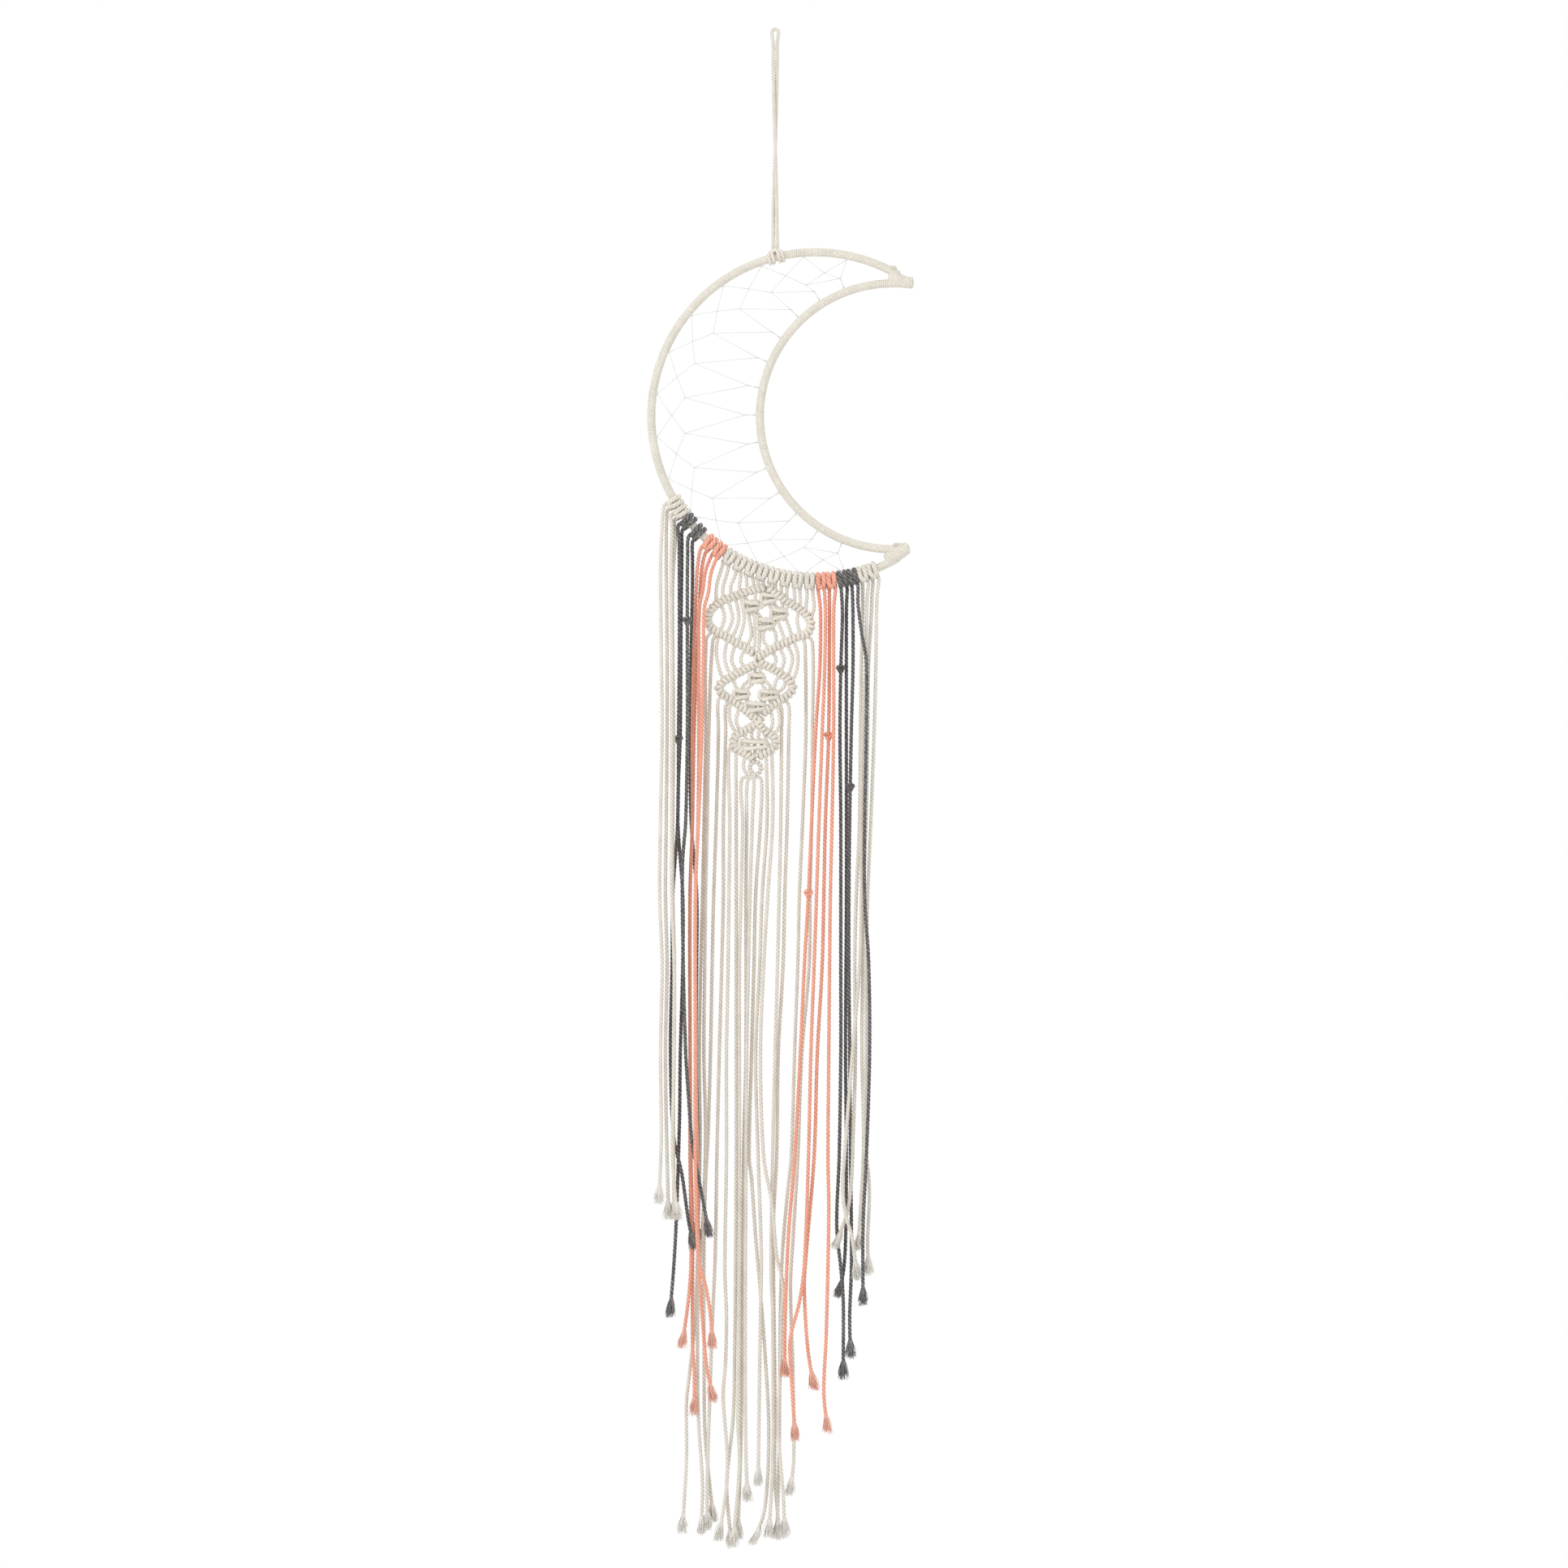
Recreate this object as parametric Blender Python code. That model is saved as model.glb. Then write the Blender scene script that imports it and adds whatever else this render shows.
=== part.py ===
"""Dream catcher: a wrapped crescent hoop on a cord loop, with a thread net and a knotted cotton fringe.

The hoop hangs in the XZ plane with its front towards -Y. The origin is where the loop bears on its nail.
Lengths are in millimetres until they reach Blender, which works in metres.
"""

import math

import bmesh
import bpy
from mathutils import Vector
from mathutils.geometry import delaunay_2d_cdt

MM = 0.001
GAP = 0.3  # air left between pieces that touch

# Driving dimensions
CORD_DIAMETER = 2.3  # twisted cotton of the fringe
LOOP_CORD_DIAMETER = 2.4
WIRE_DIAMETER = 3.0
WRAPPED_DIAMETER = 5.2  # the wire with its yarn
OUTER_CENTRE = (24.75, -237.25)
OUTER_RADIUS = 101.0
INNER_CENTRE = (72.5, -237.25)
INNER_RADIUS = 81.85
OUTER_ARC = (60.2, 299.8)  # degrees, where the yarn starts and ends
INNER_ARC = (88.4, 271.6)
WIRE_OUTER = (58.0, 302.0)  # degrees of each arc that the wire follows
WIRE_INNER = (86.2, 273.8)
WIRE_TURN = [(79.6, -152.3), (80.0, -154.2), (78.5, -155.6)]  # round the upper tip
KNOT_RADIUS = 5.7  # from the hoop's centre line to the outside of a lark's head
KNOT_SPAN = 3.4  # degrees of hoop that one lark's head covers
EXIT_GAP = 1.2  # from a lark's head to the cord that hangs from it
HANGER_ANGLE = 103.95  # degrees, where the loop is tied to the hoop
HANGER_SPAN = 5.4
ROCK_CLEARANCE = 0.55  # lets the hoop rock inside the knot that holds it
THREAD_WIDTH = 0.6
PANEL_THICKNESS = 7.0

CREAM = ((0.72, 0.67, 0.58), 0.9, 0.0)
CORAL = ((0.86, 0.35, 0.24), 0.9, 0.0)
GREY = ((0.13, 0.125, 0.13), 0.9, 0.0)
THREAD = ((0.62, 0.62, 0.62), 0.6, 0.0)
STEEL = ((0.6, 0.6, 0.6), 0.35, 1.0)

# Angles of the lark's heads round the outer arc, in degrees
LARKS_HEADS = {
    "left_cream": (CREAM, [211.5, 215.5]),
    "left_grey": (GREY, [219.6, 224.6]),
    "left_coral": (CORAL, [230.2, 234.4]),
    "panel": (CREAM, [238.7 + 4.19 * step for step in range(8)]),
    "right_coral": (CORAL, [272.0, 275.6]),
    "right_grey": (GREY, [279.5, 283.1]),
    "right_cream": (CREAM, [286.7, 290.3]),
}

# Each hanging cord: its depth where it starts, its depth lower down, and its route as (x, z).
# A side cord leaves its lark's head first, and then follows these points.
ROUTES = {
    "left_cream_1": (-1.3, -5.5, [
        (-69.5, -303), (-70.5, -331), (-70, -381), (-69.5, -431), (-70.5, -486), (-71, -532),
        (-69.5, -575), (-70.5, -630), (-70, -681), (-71.5, -721)]),
    "left_cream_2": (1.3, -2, [
        (-67, -306), (-67, -331), (-66.5, -381), (-66.5, -431), (-67, -486), (-67.5, -532),
        (-66.5, -575), (-67.5, -630), (-66.5, -694), (-65.5, -731)]),
    "left_cream_3": (-1.3, -5.5, [
        (-63.5, -308), (-64, -331), (-63.5, -381), (-63.5, -431), (-63.5, -486), (-63.5, -532),
        (-62, -575), (-62, -630), (-63, -694), (-60, -731)]),
    "left_cream_4": (1.3, -2, [
        (-61.5, -312), (-63, -341), (-63, -381), (-62.5, -431), (-63, -486), (-63, -532), (-62, -575),
        (-62.5, -630), (-62.5, -694), (-62, -731)]),
    "left_grey_1": (-1.3, 1.5, [
        (-59, -321), (-59, -351), (-59, -381), (-59.5, -431), (-60, -486), (-63, -532), (-63.5, -575),
        (-64.5, -630), (-62.5, -681), (-57.5, -704), (-53.5, -732), (-50, -750)]),
    "left_grey_2": (1.3, 5, [
        (-57.5, -326), (-58, -361), (-58.5, -431), (-60, -486), (-57, -532), (-57, -575),
        (-58.5, -630), (-59, -671), (-61, -733), (-62.5, -761), (-65, -792)]),
    "left_grey_3": (-1.3, -2, [
        (-54, -337), (-54, -381), (-54, -431), (-55, -486), (-57, -514), (-56.5, -575), (-55, -630),
        (-53.5, -653), (-51, -685), (-47.5, -704), (-44, -722), (-40.5, -742)]),
    "left_grey_4": (1.3, 12, [
        (-51, -337), (-52, -381), (-52.5, -431), (-52, -486), (-48.5, -532), (-48.5, -575),
        (-49, -630), (-48, -681), (-49, -746)]),
    "left_coral_1": (-1.3, 5, [
        (-48.5, -341), (-50, -381), (-51, -431), (-51, -486), (-52.5, -532), (-52.5, -630),
        (-52.5, -694), (-52, -731), (-52, -761), (-53.5, -782), (-57.5, -811)]),
    "left_coral_2": (1.3, 8.5, [
        (-46, -341), (-48, -381), (-50, -431), (-51, -486), (-52.5, -532), (-52.5, -630), (-52, -694),
        (-51, -736), (-51, -810), (-50, -828), (-50, -853)]),
    "left_coral_3": (1.3, 1.5, [
        (-44.5, -344), (-47, -357), (-47, -381), (-47, -431), (-47.5, -486), (-49, -532), (-49, -630),
        (-48, -694), (-47, -755), (-45.5, -782), (-43.5, -810), (-42, -824), (-38, -844)]),
    "left_coral_4": (-4, -7, [
        (-41, -346), (-43.5, -356), (-44, -381), (-45, -431), (-47, -486), (-49, -532), (-49, -630),
        (-49, -694), (-47, -755), (-42.5, -773), (-39.5, -792), (-39, -810)]),
    "right_coral_1": (1.3, -2, [
        (28, -361), (27.5, -392), (25, -431), (22.5, -486), (20.5, -532), (18, -575), (15.5, -630),
        (12, -694), (8, -745), (6, -801), (6, -828)]),
    "right_coral_2": (-1.3, -5.5, [
        (31, -361), (30.5, -392), (29, -431), (27, -486), (25.5, -532), (24, -575), (22, -630),
        (20.5, -694), (18, -759), (15, -782), (10, -801), (9, -810), (10, -828), (12.5, -867)]),
    "right_coral_3": (1.3, -2, [
        (33.5, -361), (33, -431), (31, -486), (30, -532), (29, -575), (26, -630), (24, -694),
        (19, -755), (18, -773), (20, -810), (24, -836)]),
    "right_coral_4": (-1.3, -5.5, [
        (36, -361), (36, -431), (35, -486), (34, -532), (33.5, -575), (33, -630), (32.5, -694),
        (33, -727), (31.5, -801), (30, -838), (32.5, -862)]),
    "right_grey_1": (-1.3, 2, [
        (41.5, -361), (40.5, -393), (40, -431), (40.5, -486), (40.5, -575), (40.5, -630), (39.5, -694),
        (38, -736), (40.5, -762), (42, -782), (42, -819), (42, -830)]),
    "right_grey_2": (1.3, 5.5, [
        (44, -361), (44, -431), (44, -532), (43.5, -630), (44, -694), (43.5, -745), (42, -766),
        (38.5, -780)]),
    "right_grey_3": (-0.5, 2, [
        (48, -361), (48, -392), (47, -431), (46, -486), (45.5, -532), (45.5, -575), (46, -630),
        (46.5, -694), (47, -732), (47, -764), (46, -792), (46.5, -817)]),
    "right_grey_4": (-3, -10.5, [
        (51, -353), (53.5, -373), (56, -388), (56, -431), (55, -486), (55, -532), (57.5, -575),
        (58, -630), (56, -694), (54, -736), (54, -783)]),
    "right_cream_1": (1.3, -2, [
        (54, -356), (53, -392), (52.5, -431), (52, -486), (50, -532), (49, -575), (49.5, -630),
        (48, -681), (47, -708), (44.5, -727), (40, -740), (36.5, -749)]),
    "right_cream_2": (-1.3, -5.5, [
        (56.5, -356), (55.5, -392), (54, -431), (53, -486), (53, -532), (52, -575), (47.5, -630),
        (42.5, -695), (41.5, -713), (43.5, -729), (47, -741), (49, -755), (50.5, -768)]),
    "right_cream_3": (1.3, -2, [
        (59.5, -356), (57.5, -392), (57, -431), (56, -486), (54.5, -532), (54, -575), (53.5, -630),
        (54.5, -681), (53.5, -711), (51, -750)]),
    "right_cream_4": (-1.3, -5.5, [
        (62.5, -356), (62, -392), (61, -431), (59, -486), (57, -532), (56, -575), (56, -630),
        (55, -681), (57.5, -704), (58, -718), (57, -745), (57.5, -765)]),
    "panel_tail_01": (12.5, 15.5, [
        (-42.5, -375), (-43, -431), (-44, -486), (-45, -532), (-46, -575), (-47, -630), (-46.5, -681),
        (-47.5, -731), (-50, -801), (-53, -828), (-55, -847), (-55, -881), (-57.5, -927)]),
    "panel_tail_02": (8, 12, [
        (-38.5, -376), (-41, -431), (-42, -486), (-43, -532), (-43.5, -575), (-44, -630), (-43, -681),
        (-44.5, -731), (-47.5, -781), (-48, -810), (-47.5, -856), (-45, -898), (-46, -927)]),
    "panel_tail_03": (1.5, 15.5, [
        (-35, -412), (-35, -431), (-36.5, -486), (-38, -532), (-39, -575), (-40, -630), (-41.5, -681),
        (-43, -708), (-44, -746), (-44, -828), (-43.5, -865), (-40.5, -898), (-38, -920)]),
    "panel_tail_04": (1.5, 12, [
        (-30.5, -416), (-30.5, -431), (-32, -486), (-32, -532), (-33, -575), (-34.5, -630),
        (-36, -694), (-37, -755), (-39, -801), (-40.5, -847), (-41.5, -875), (-42, -902), (-42, -925)]),
    "panel_tail_05": (1.5, 5, [
        (-28.5, -443), (-28, -486), (-28.5, -532), (-29, -575), (-30, -630), (-30, -694), (-31, -764),
        (-30, -792), (-30.5, -819), (-32, -842), (-29.5, -879), (-30, -898), (-35, -930)]),
    "panel_tail_06": (1.5, 8.5, [
        (-24, -445), (-24, -486), (-24, -575), (-24, -630), (-24, -694), (-25, -819), (-26, -856),
        (-29, -884), (-30, -898), (-27, -935)]),
    "panel_tail_07": (1.5, 5, [
        (-20.5, -461), (-20, -486), (-21, -532), (-22, -575), (-22, -694), (-22.5, -819), (-23, -856),
        (-22, -884), (-26, -933)]),
    "panel_tail_08": (1.5, 8.5, [
        (-17, -462), (-17.5, -486), (-18, -532), (-18, -630), (-19.5, -694), (-20.5, -819),
        (-21, -865), (-23, -930)]),
    "panel_tail_09": (1.5, 5, [
        (-13, -462), (-14, -486), (-15.5, -532), (-16.5, -575), (-17.5, -630), (-18, -694),
        (-18.5, -819), (-18, -879), (-17, -906)]),
    "panel_tail_10": (3, 8.5, [
        (-8.5, -461), (-9, -486), (-12, -532), (-13, -575), (-14.5, -630), (-16, -694), (-14.5, -708),
        (-12, -745), (-9.5, -773), (-6, -819), (-4, -865), (-6.5, -912), (-14, -933)]),
    "panel_tail_11": (-0.5, 5, [
        (-5.5, -446), (-5, -486), (-8, -532), (-9.5, -575), (-12, -630), (-10.5, -694), (-8.5, -755),
        (-9, -792), (-9.5, -819), (-10.5, -896)]),
    "panel_tail_12": (1.5, 1.5, [
        (-2, -445), (-1.5, -486), (-4.5, -532), (-7, -575), (-9, -630), (-7, -694), (-2, -722),
        (1, -755), (5, -773), (4, -792), (3.5, -819), (2, -861), (5, -902), (6, -927)]),
    "panel_tail_13": (1.5, 5, [
        (4, -417), (4, -431), (3.5, -486), (2.5, -532), (1.5, -575), (0, -630), (-1.5, -694),
        (-2.5, -764), (-1.5, -792), (-1.5, -884), (-4, -928)]),
    "panel_tail_14": (1.5, 8.5, [
        (8.5, -416), (8.5, -431), (7.5, -486), (6, -532), (5, -575), (2, -630), (1, -694), (-1, -736),
        (0, -847), (0, -893), (3, -930)]),
    "panel_tail_15": (1.5, 12, [
        (18.5, -379), (19, -431), (17, -486), (15, -532), (14, -575), (12, -630), (10, -694),
        (7.5, -718), (4, -764), (3, -821), (2.5, -881), (1, -930)]),
    "panel_tail_16": (1.5, 5, [
        (23, -377), (23, -431), (22.5, -486), (21.5, -532), (21, -575), (16.5, -630), (14, -694),
        (11, -745), (9.5, -773), (11, -826), (11.5, -881), (9, -902)]),
}

# The knotted panel: each piece as bars (width, corners), in the hoop's plane
PANEL = {
    "panel_diamond_large": [
        (7.8, [(-3.5, -345.2), (-37.5, -359), (-41, -363), (-39, -367), (-12.5, -383)]),
        (7.8, [(-3.5, -345.2), (20.6, -359), (21, -366), (19.5, -371), (-12.5, -383)]),
        (7.0, [(-3.5, -350), (-14.5, -355.5), (-7, -365), (3, -358), (-3.5, -350)]),
        (CORD_DIAMETER, [(-13, -358), (-16, -368), (-13, -377)]),
        (CORD_DIAMETER, [(-5, -366), (2, -377)]),
        (CORD_DIAMETER, [(-21, -354), (-17.5, -362), (-20, -375)]),
        (CORD_DIAMETER, [(-27, -357), (-24, -363), (-27, -372)]),
        (CORD_DIAMETER, [(8, -355), (13, -369)]),
        (CORD_DIAMETER, [(-33, -330.5), (-36.5, -355)]),
        (CORD_DIAMETER, [(-27, -333.5), (-31, -355)]),
        (CORD_DIAMETER, [(-21, -336.7), (-24, -352)]),
        (CORD_DIAMETER, [(15, -345.8), (15, -355)]),
        (CORD_DIAMETER, [(20.5, -345.8), (21, -358)]),
        (CORD_DIAMETER, [(-30.5, -373), (-32, -384), (-29, -394.6)]),
        (CORD_DIAMETER, [(-24.5, -376), (-27, -386), (-23.5, -391)]),
        (CORD_DIAMETER, [(5.5, -377), (7.5, -386), (3.5, -392.5)]),
        (CORD_DIAMETER, [(12, -375), (12.5, -388), (9.5, -395)]),
    ],
    "panel_diamond_medium": [
        (7.0, [(-11.5, -393.6), (-31.5, -402), (-33.8, -405), (-31.5, -408), (-12.7, -416.5)]),
        (7.0, [(-11.5, -393.6), (8.5, -402), (10.2, -405.5), (8.5, -409), (-12.7, -416.5)]),
        (6.5, [(-11, -395), (-19.5, -408)]),
        (6.5, [(-11, -395), (-4, -408)]),
        (6.5, [(-19.5, -408), (-12.5, -415)]),
        (6.5, [(-4, -408), (-12.5, -415)]),
    ],
    "panel_diamond_small": [
        (5.6, [(-12.5, -424.2), (-24, -433), (-25.5, -436.5), (-24, -439), (-12.5, -445)]),
        (5.6, [(-12.5, -424.2), (-1.8, -433), (-0.8, -436.5), (-1.8, -439), (-12.5, -445)]),
        (5.0, [(-19.5, -440), (-5.5, -440)]),
        (CORD_DIAMETER, [(-12.5, -425), (-12.5, -440)]),
    ],
    "panel_end_knot": [
        (5.0, [(-12.5, -451.3), (-15.5, -454), (-12.5, -458)]),
        (5.0, [(-12.5, -451.3), (-9.5, -454), (-12.5, -458)]),
    ],
}

# The net's knots, in rows from the outer arc inwards
OUTER_TIES = [78.6 + 15.55 * step for step in range(14)]
FIRST_ROW_RADIUS = 88.5
SECOND_ROW_RADIUS = 81.0
INNER_ROW = [110.8 + 11.44 * step for step in range(13)]
INNER_ROW_RADIUS = INNER_RADIUS + 9.0
FRINGE_START = 209.0  # degrees, between these the lark's heads cover the arc
FRINGE_END = 292.4


def polar(centre, radius, degrees):
    """A point (x, z) on a circle in the hoop's plane."""
    angle = math.radians(degrees)
    return (centre[0] + radius * math.cos(angle), centre[1] + radius * math.sin(angle))


def make_material(name, look):
    """A plain material of one colour."""
    colour, roughness, metallic = look
    material = bpy.data.materials.new(name)
    material.use_nodes = True
    shader = material.node_tree.nodes["Principled BSDF"]
    shader.inputs["Base Color"].default_value = (*colour, 1.0)
    shader.inputs["Roughness"].default_value = roughness
    shader.inputs["Metallic"].default_value = metallic
    return material


def add_object(name, data, look):
    """Put a mesh or a curve in the scene under its name."""
    data.materials.append(make_material(name, look))
    piece = bpy.data.objects.new(name, data)
    bpy.context.collection.objects.link(piece)
    return piece


def add_mesh(name, vertices, faces, look):
    """A closed mesh from points in millimetres, with its faces turned outwards."""
    mesh = bpy.data.meshes.new(name)
    mesh.from_pydata([Vector(v) * MM for v in vertices], [], faces)
    work = bmesh.new()
    work.from_mesh(mesh)
    bmesh.ops.recalc_face_normals(work, faces=work.faces)
    work.to_mesh(mesh)
    work.free()
    mesh.shade_smooth()
    mesh.set_sharp_from_angle(angle=math.radians(50))
    return add_object(name, mesh, look)


def add_tube(name, points, diameter, look, closed=False):
    """A round cord or wire through points in millimetres."""
    curve = bpy.data.curves.new(name, "CURVE")
    curve.dimensions = "3D"
    curve.bevel_depth = diameter / 2 * MM
    curve.bevel_resolution = 2
    curve.use_fill_caps = not closed
    line = curve.splines.new("POLY")
    line.points.add(len(points) - 1)
    for slot, point in zip(line.points, points):
        slot.co = (*(Vector(point) * MM), 1.0)
    line.use_cyclic_u = closed
    return add_object(name, curve, look)


def add_sleeve(name, centre, arc_radius, bore, rings, look):
    """A hollow sleeve round an arc of the hoop; rings are (degrees, outer radius)."""
    sides = 8
    vertices = []
    for degrees, outer in rings:
        angle = math.radians(degrees)
        out = Vector((math.cos(angle), 0, math.sin(angle)))
        middle = Vector((centre[0], 0, centre[1])) + out * arc_radius
        for radius in (bore, outer):
            for side in range(sides):
                turn = 2 * math.pi * (side + 0.5) / sides
                vertices.append(middle + out * radius * math.cos(turn)
                                + Vector((0, 1, 0)) * radius * math.sin(turn))
    faces = []
    for ring in range(len(rings) - 1):
        for side in range(sides):
            after = (side + 1) % sides
            for wall in (0, sides):
                low = ring * 2 * sides + wall
                high = low + 2 * sides
                quad = (low + side, low + after, high + after, high + side)
                faces.append(quad if wall else quad[::-1])
    for low in (0, (len(rings) - 1) * 2 * sides):
        for side in range(sides):
            after = (side + 1) % sides
            faces.append((low + side, low + after, low + sides + after, low + sides + side))
    return add_mesh(name, vertices, faces, look)


def add_lattice(name, bars, thickness, look):
    """A flat piece made of straight bars (width, corners) that run into each other."""
    corners = []
    outlines = []
    for width, route in bars:
        for start, end in zip(route, route[1:]):
            start = Vector(start)
            end = Vector(end)
            along = (end - start).normalized() * width / 2
            across = Vector((-along.y, along.x))
            first = len(corners)
            cut = along * 0.7
            low = start - cut
            high = end + cut
            corners += [low + across * 0.7, low - across * 0.7, start - across,
                        end - across, high - across * 0.7, high + across * 0.7,
                        end + across, start + across]
            outlines.append(list(range(first, first + 8)))
    points, _, triangles, _, _, owners = delaunay_2d_cdt(corners, [], outlines, 1, 0.002)
    covered = [triangle for triangle, owner in zip(triangles, owners) if owner]
    used = sorted({corner for triangle in covered for corner in triangle})
    place = {corner: index for index, corner in enumerate(used)}
    count = len(used)
    vertices = [(points[c].x, -thickness / 2, points[c].y) for c in used]
    vertices += [(points[c].x, thickness / 2, points[c].y) for c in used]
    front = [[place[c] for c in triangle] for triangle in covered]
    sides = {}
    for triangle in front:
        for a, b in zip(triangle, triangle[1:] + triangle[:1]):
            if (b, a) in sides:
                del sides[(b, a)]
            else:
                sides[(a, b)] = True
    faces = front + [[c + count for c in reversed(triangle)] for triangle in front]
    faces += [(b, a, a + count, b + count) for a, b in sides]
    return add_mesh(name, vertices, faces, look)


def smooth_route(points, count):
    """Points evenly spaced along a smooth curve through the route's own points."""
    points = [Vector(p) for p in points]
    lengths = [0.0]
    for start, end in zip(points, points[1:]):
        lengths.append(lengths[-1] + (end - start).length)
    last = len(points) - 1
    slopes = []
    for index in range(last + 1):
        before = max(index - 1, 0)
        after = min(index + 1, last)
        slopes.append((points[after] - points[before]) / (lengths[after] - lengths[before]))
    route = []
    for step in range(count + 1):
        distance = lengths[-1] * step / count
        index = 0
        while index < last - 1 and lengths[index + 1] < distance:
            index += 1
        span = lengths[index + 1] - lengths[index]
        t = (distance - lengths[index]) / span
        route.append(points[index] * (2 * t**3 - 3 * t**2 + 1)
                     + slopes[index] * span * (t**3 - 2 * t**2 + t)
                     + points[index + 1] * (3 * t**2 - 2 * t**3)
                     + slopes[index + 1] * span * (t**3 - t**2))
    return route, lengths[-1]


def exit_point(angles, number):
    """Where a side cord leaves its lark's head: two cords to each."""
    offset = -1.0 if number % 2 == 0 else 1.0
    radius = OUTER_RADIUS + KNOT_RADIUS + EXIT_GAP
    return polar(OUTER_CENTRE, radius, angles[number // 2] + offset)


def make_fringe_cord(name, look, start, route, depths):
    """One hanging cord, which drifts from its first depth to its own layer of the fringe."""
    segments = 12
    settle = 45.0  # mm of cord in which it reaches its layer
    route = route if start is None else [start] + route
    flat, length = smooth_route(route, segments)
    points = []
    for step, point in enumerate(flat):
        share = min(length * step / segments / settle, 1.0)
        depth = depths[0] + (depths[1] - depths[0]) * share * share * (3 - 2 * share)
        points.append((point.x, depth, point.y))
    return add_tube(name, points, CORD_DIAMETER, look)


def make_fringe():
    """The 40 hanging cords: four to each side group, 16 from the panel."""
    for name, (first_depth, layer, route) in ROUTES.items():
        group, _, number = name.rpartition("_")
        if group in LARKS_HEADS:
            look, angles = LARKS_HEADS[group]
            start = exit_point(angles, int(number) - 1)
        else:
            look = CREAM
            start = None
        make_fringe_cord(name, look, start, route, (first_depth, layer))


def make_larks_heads():
    """One sleeve of knots for each colour group, with a swell for each of its wraps."""
    wraps = 2
    for name, (look, angles) in LARKS_HEADS.items():
        rings = []
        for angle in angles:
            first = angle - KNOT_SPAN / 2
            wrap = KNOT_SPAN / wraps
            for turn in range(wraps):
                rings.append((first + wrap * (turn + 0.05), KNOT_RADIUS - 0.9))
                rings.append((first + wrap * (turn + 0.5), KNOT_RADIUS))
            rings.append((first + KNOT_SPAN - 0.05, KNOT_RADIUS - 0.9))
        add_sleeve(name + "_knots", OUTER_CENTRE, OUTER_RADIUS, WRAPPED_DIAMETER / 2 + GAP, rings, look)


def make_hoop():
    """The wire of the crescent, the yarn wound over both arcs, and the bindings on its tips."""
    outer_steps = 34
    inner_steps = 26
    arcs = {
        "outer_wrap": (OUTER_CENTRE, OUTER_RADIUS, OUTER_ARC, outer_steps),
        "inner_wrap": (INNER_CENTRE, INNER_RADIUS, INNER_ARC, inner_steps),
    }
    bore = WIRE_DIAMETER / 2 + GAP
    for name, (centre, radius, (start, end), count) in arcs.items():
        rings = [(start + (end - start) * step / count, WRAPPED_DIAMETER / 2) for step in range(count + 1)]
        add_sleeve(name, centre, radius, bore, rings, CREAM)

    # The wire turns back inside each tip, where the two arcs are 4 mm apart
    wire = []
    first, last = WIRE_OUTER
    for step in range(outer_steps + 1):
        x, z = polar(OUTER_CENTRE, OUTER_RADIUS, first + (last - first) * step / outer_steps)
        wire.append((x, 0, z))
    wire += [(x, 0, 2 * OUTER_CENTRE[1] - z) for x, z in WIRE_TURN]
    last, first = WIRE_INNER
    for step in range(inner_steps + 2):
        x, z = polar(INNER_CENTRE, INNER_RADIUS, first + (last - first) * step / (inner_steps + 1))
        wire.append((x, 0, z))
    wire += [(x, 0, z) for x, z in reversed(WIRE_TURN)]
    add_tube("crescent_wire", wire, WIRE_DIAMETER, STEEL, closed=True)


def make_binding(name, start, end, radius):
    """The yarn bound over a tip of the crescent, hollow where the two wires run in."""
    start = Vector((start[0], 0, start[1]))
    end = Vector((end[0], 0, end[1]))
    along = (end - start).normalized()
    up = Vector((0, 1, 0))
    across = along.cross(up)
    length = (end - start).length
    sides = 12
    slot_depth = length - 2.6
    slot = (4.5, 2.0)  # half width and half height of the hollow for the wires
    outside = [(0, radius), (length * 0.5, radius + 0.2), (length - 2.2, radius),
               (length - 0.6, radius * 0.72)]
    vertices = []
    for distance, size in outside:
        for side in range(sides):
            turn = 2 * math.pi * side / sides
            vertices.append(start + along * distance + across * size * math.cos(turn)
                            + up * size * 0.85 * math.sin(turn))
    tip = len(vertices)
    vertices.append(start + along * length)
    inner = len(vertices)
    for distance, share in ((0, 1.0), (slot_depth, 0.9)):
        for side in range(sides):
            turn = 2 * math.pi * side / sides
            vertices.append(start + along * distance + across * slot[0] * share * math.cos(turn)
                            + up * slot[1] * math.sin(turn))
    floor = len(vertices)
    vertices.append(start + along * slot_depth)
    faces = []
    for side in range(sides):
        after = (side + 1) % sides
        for ring in range(len(outside) - 1):
            low = ring * sides
            faces.append((low + side, low + after, low + sides + after, low + sides + side))
        faces.append((tip - sides + side, tip - sides + after, tip))
        faces.append((side, after, inner + after, inner + side))
        faces.append((inner + side, inner + after, inner + sides + after, inner + sides + side))
        faces.append((inner + sides + side, inner + sides + after, floor))
    return add_mesh(name, vertices, faces, CREAM)


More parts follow.
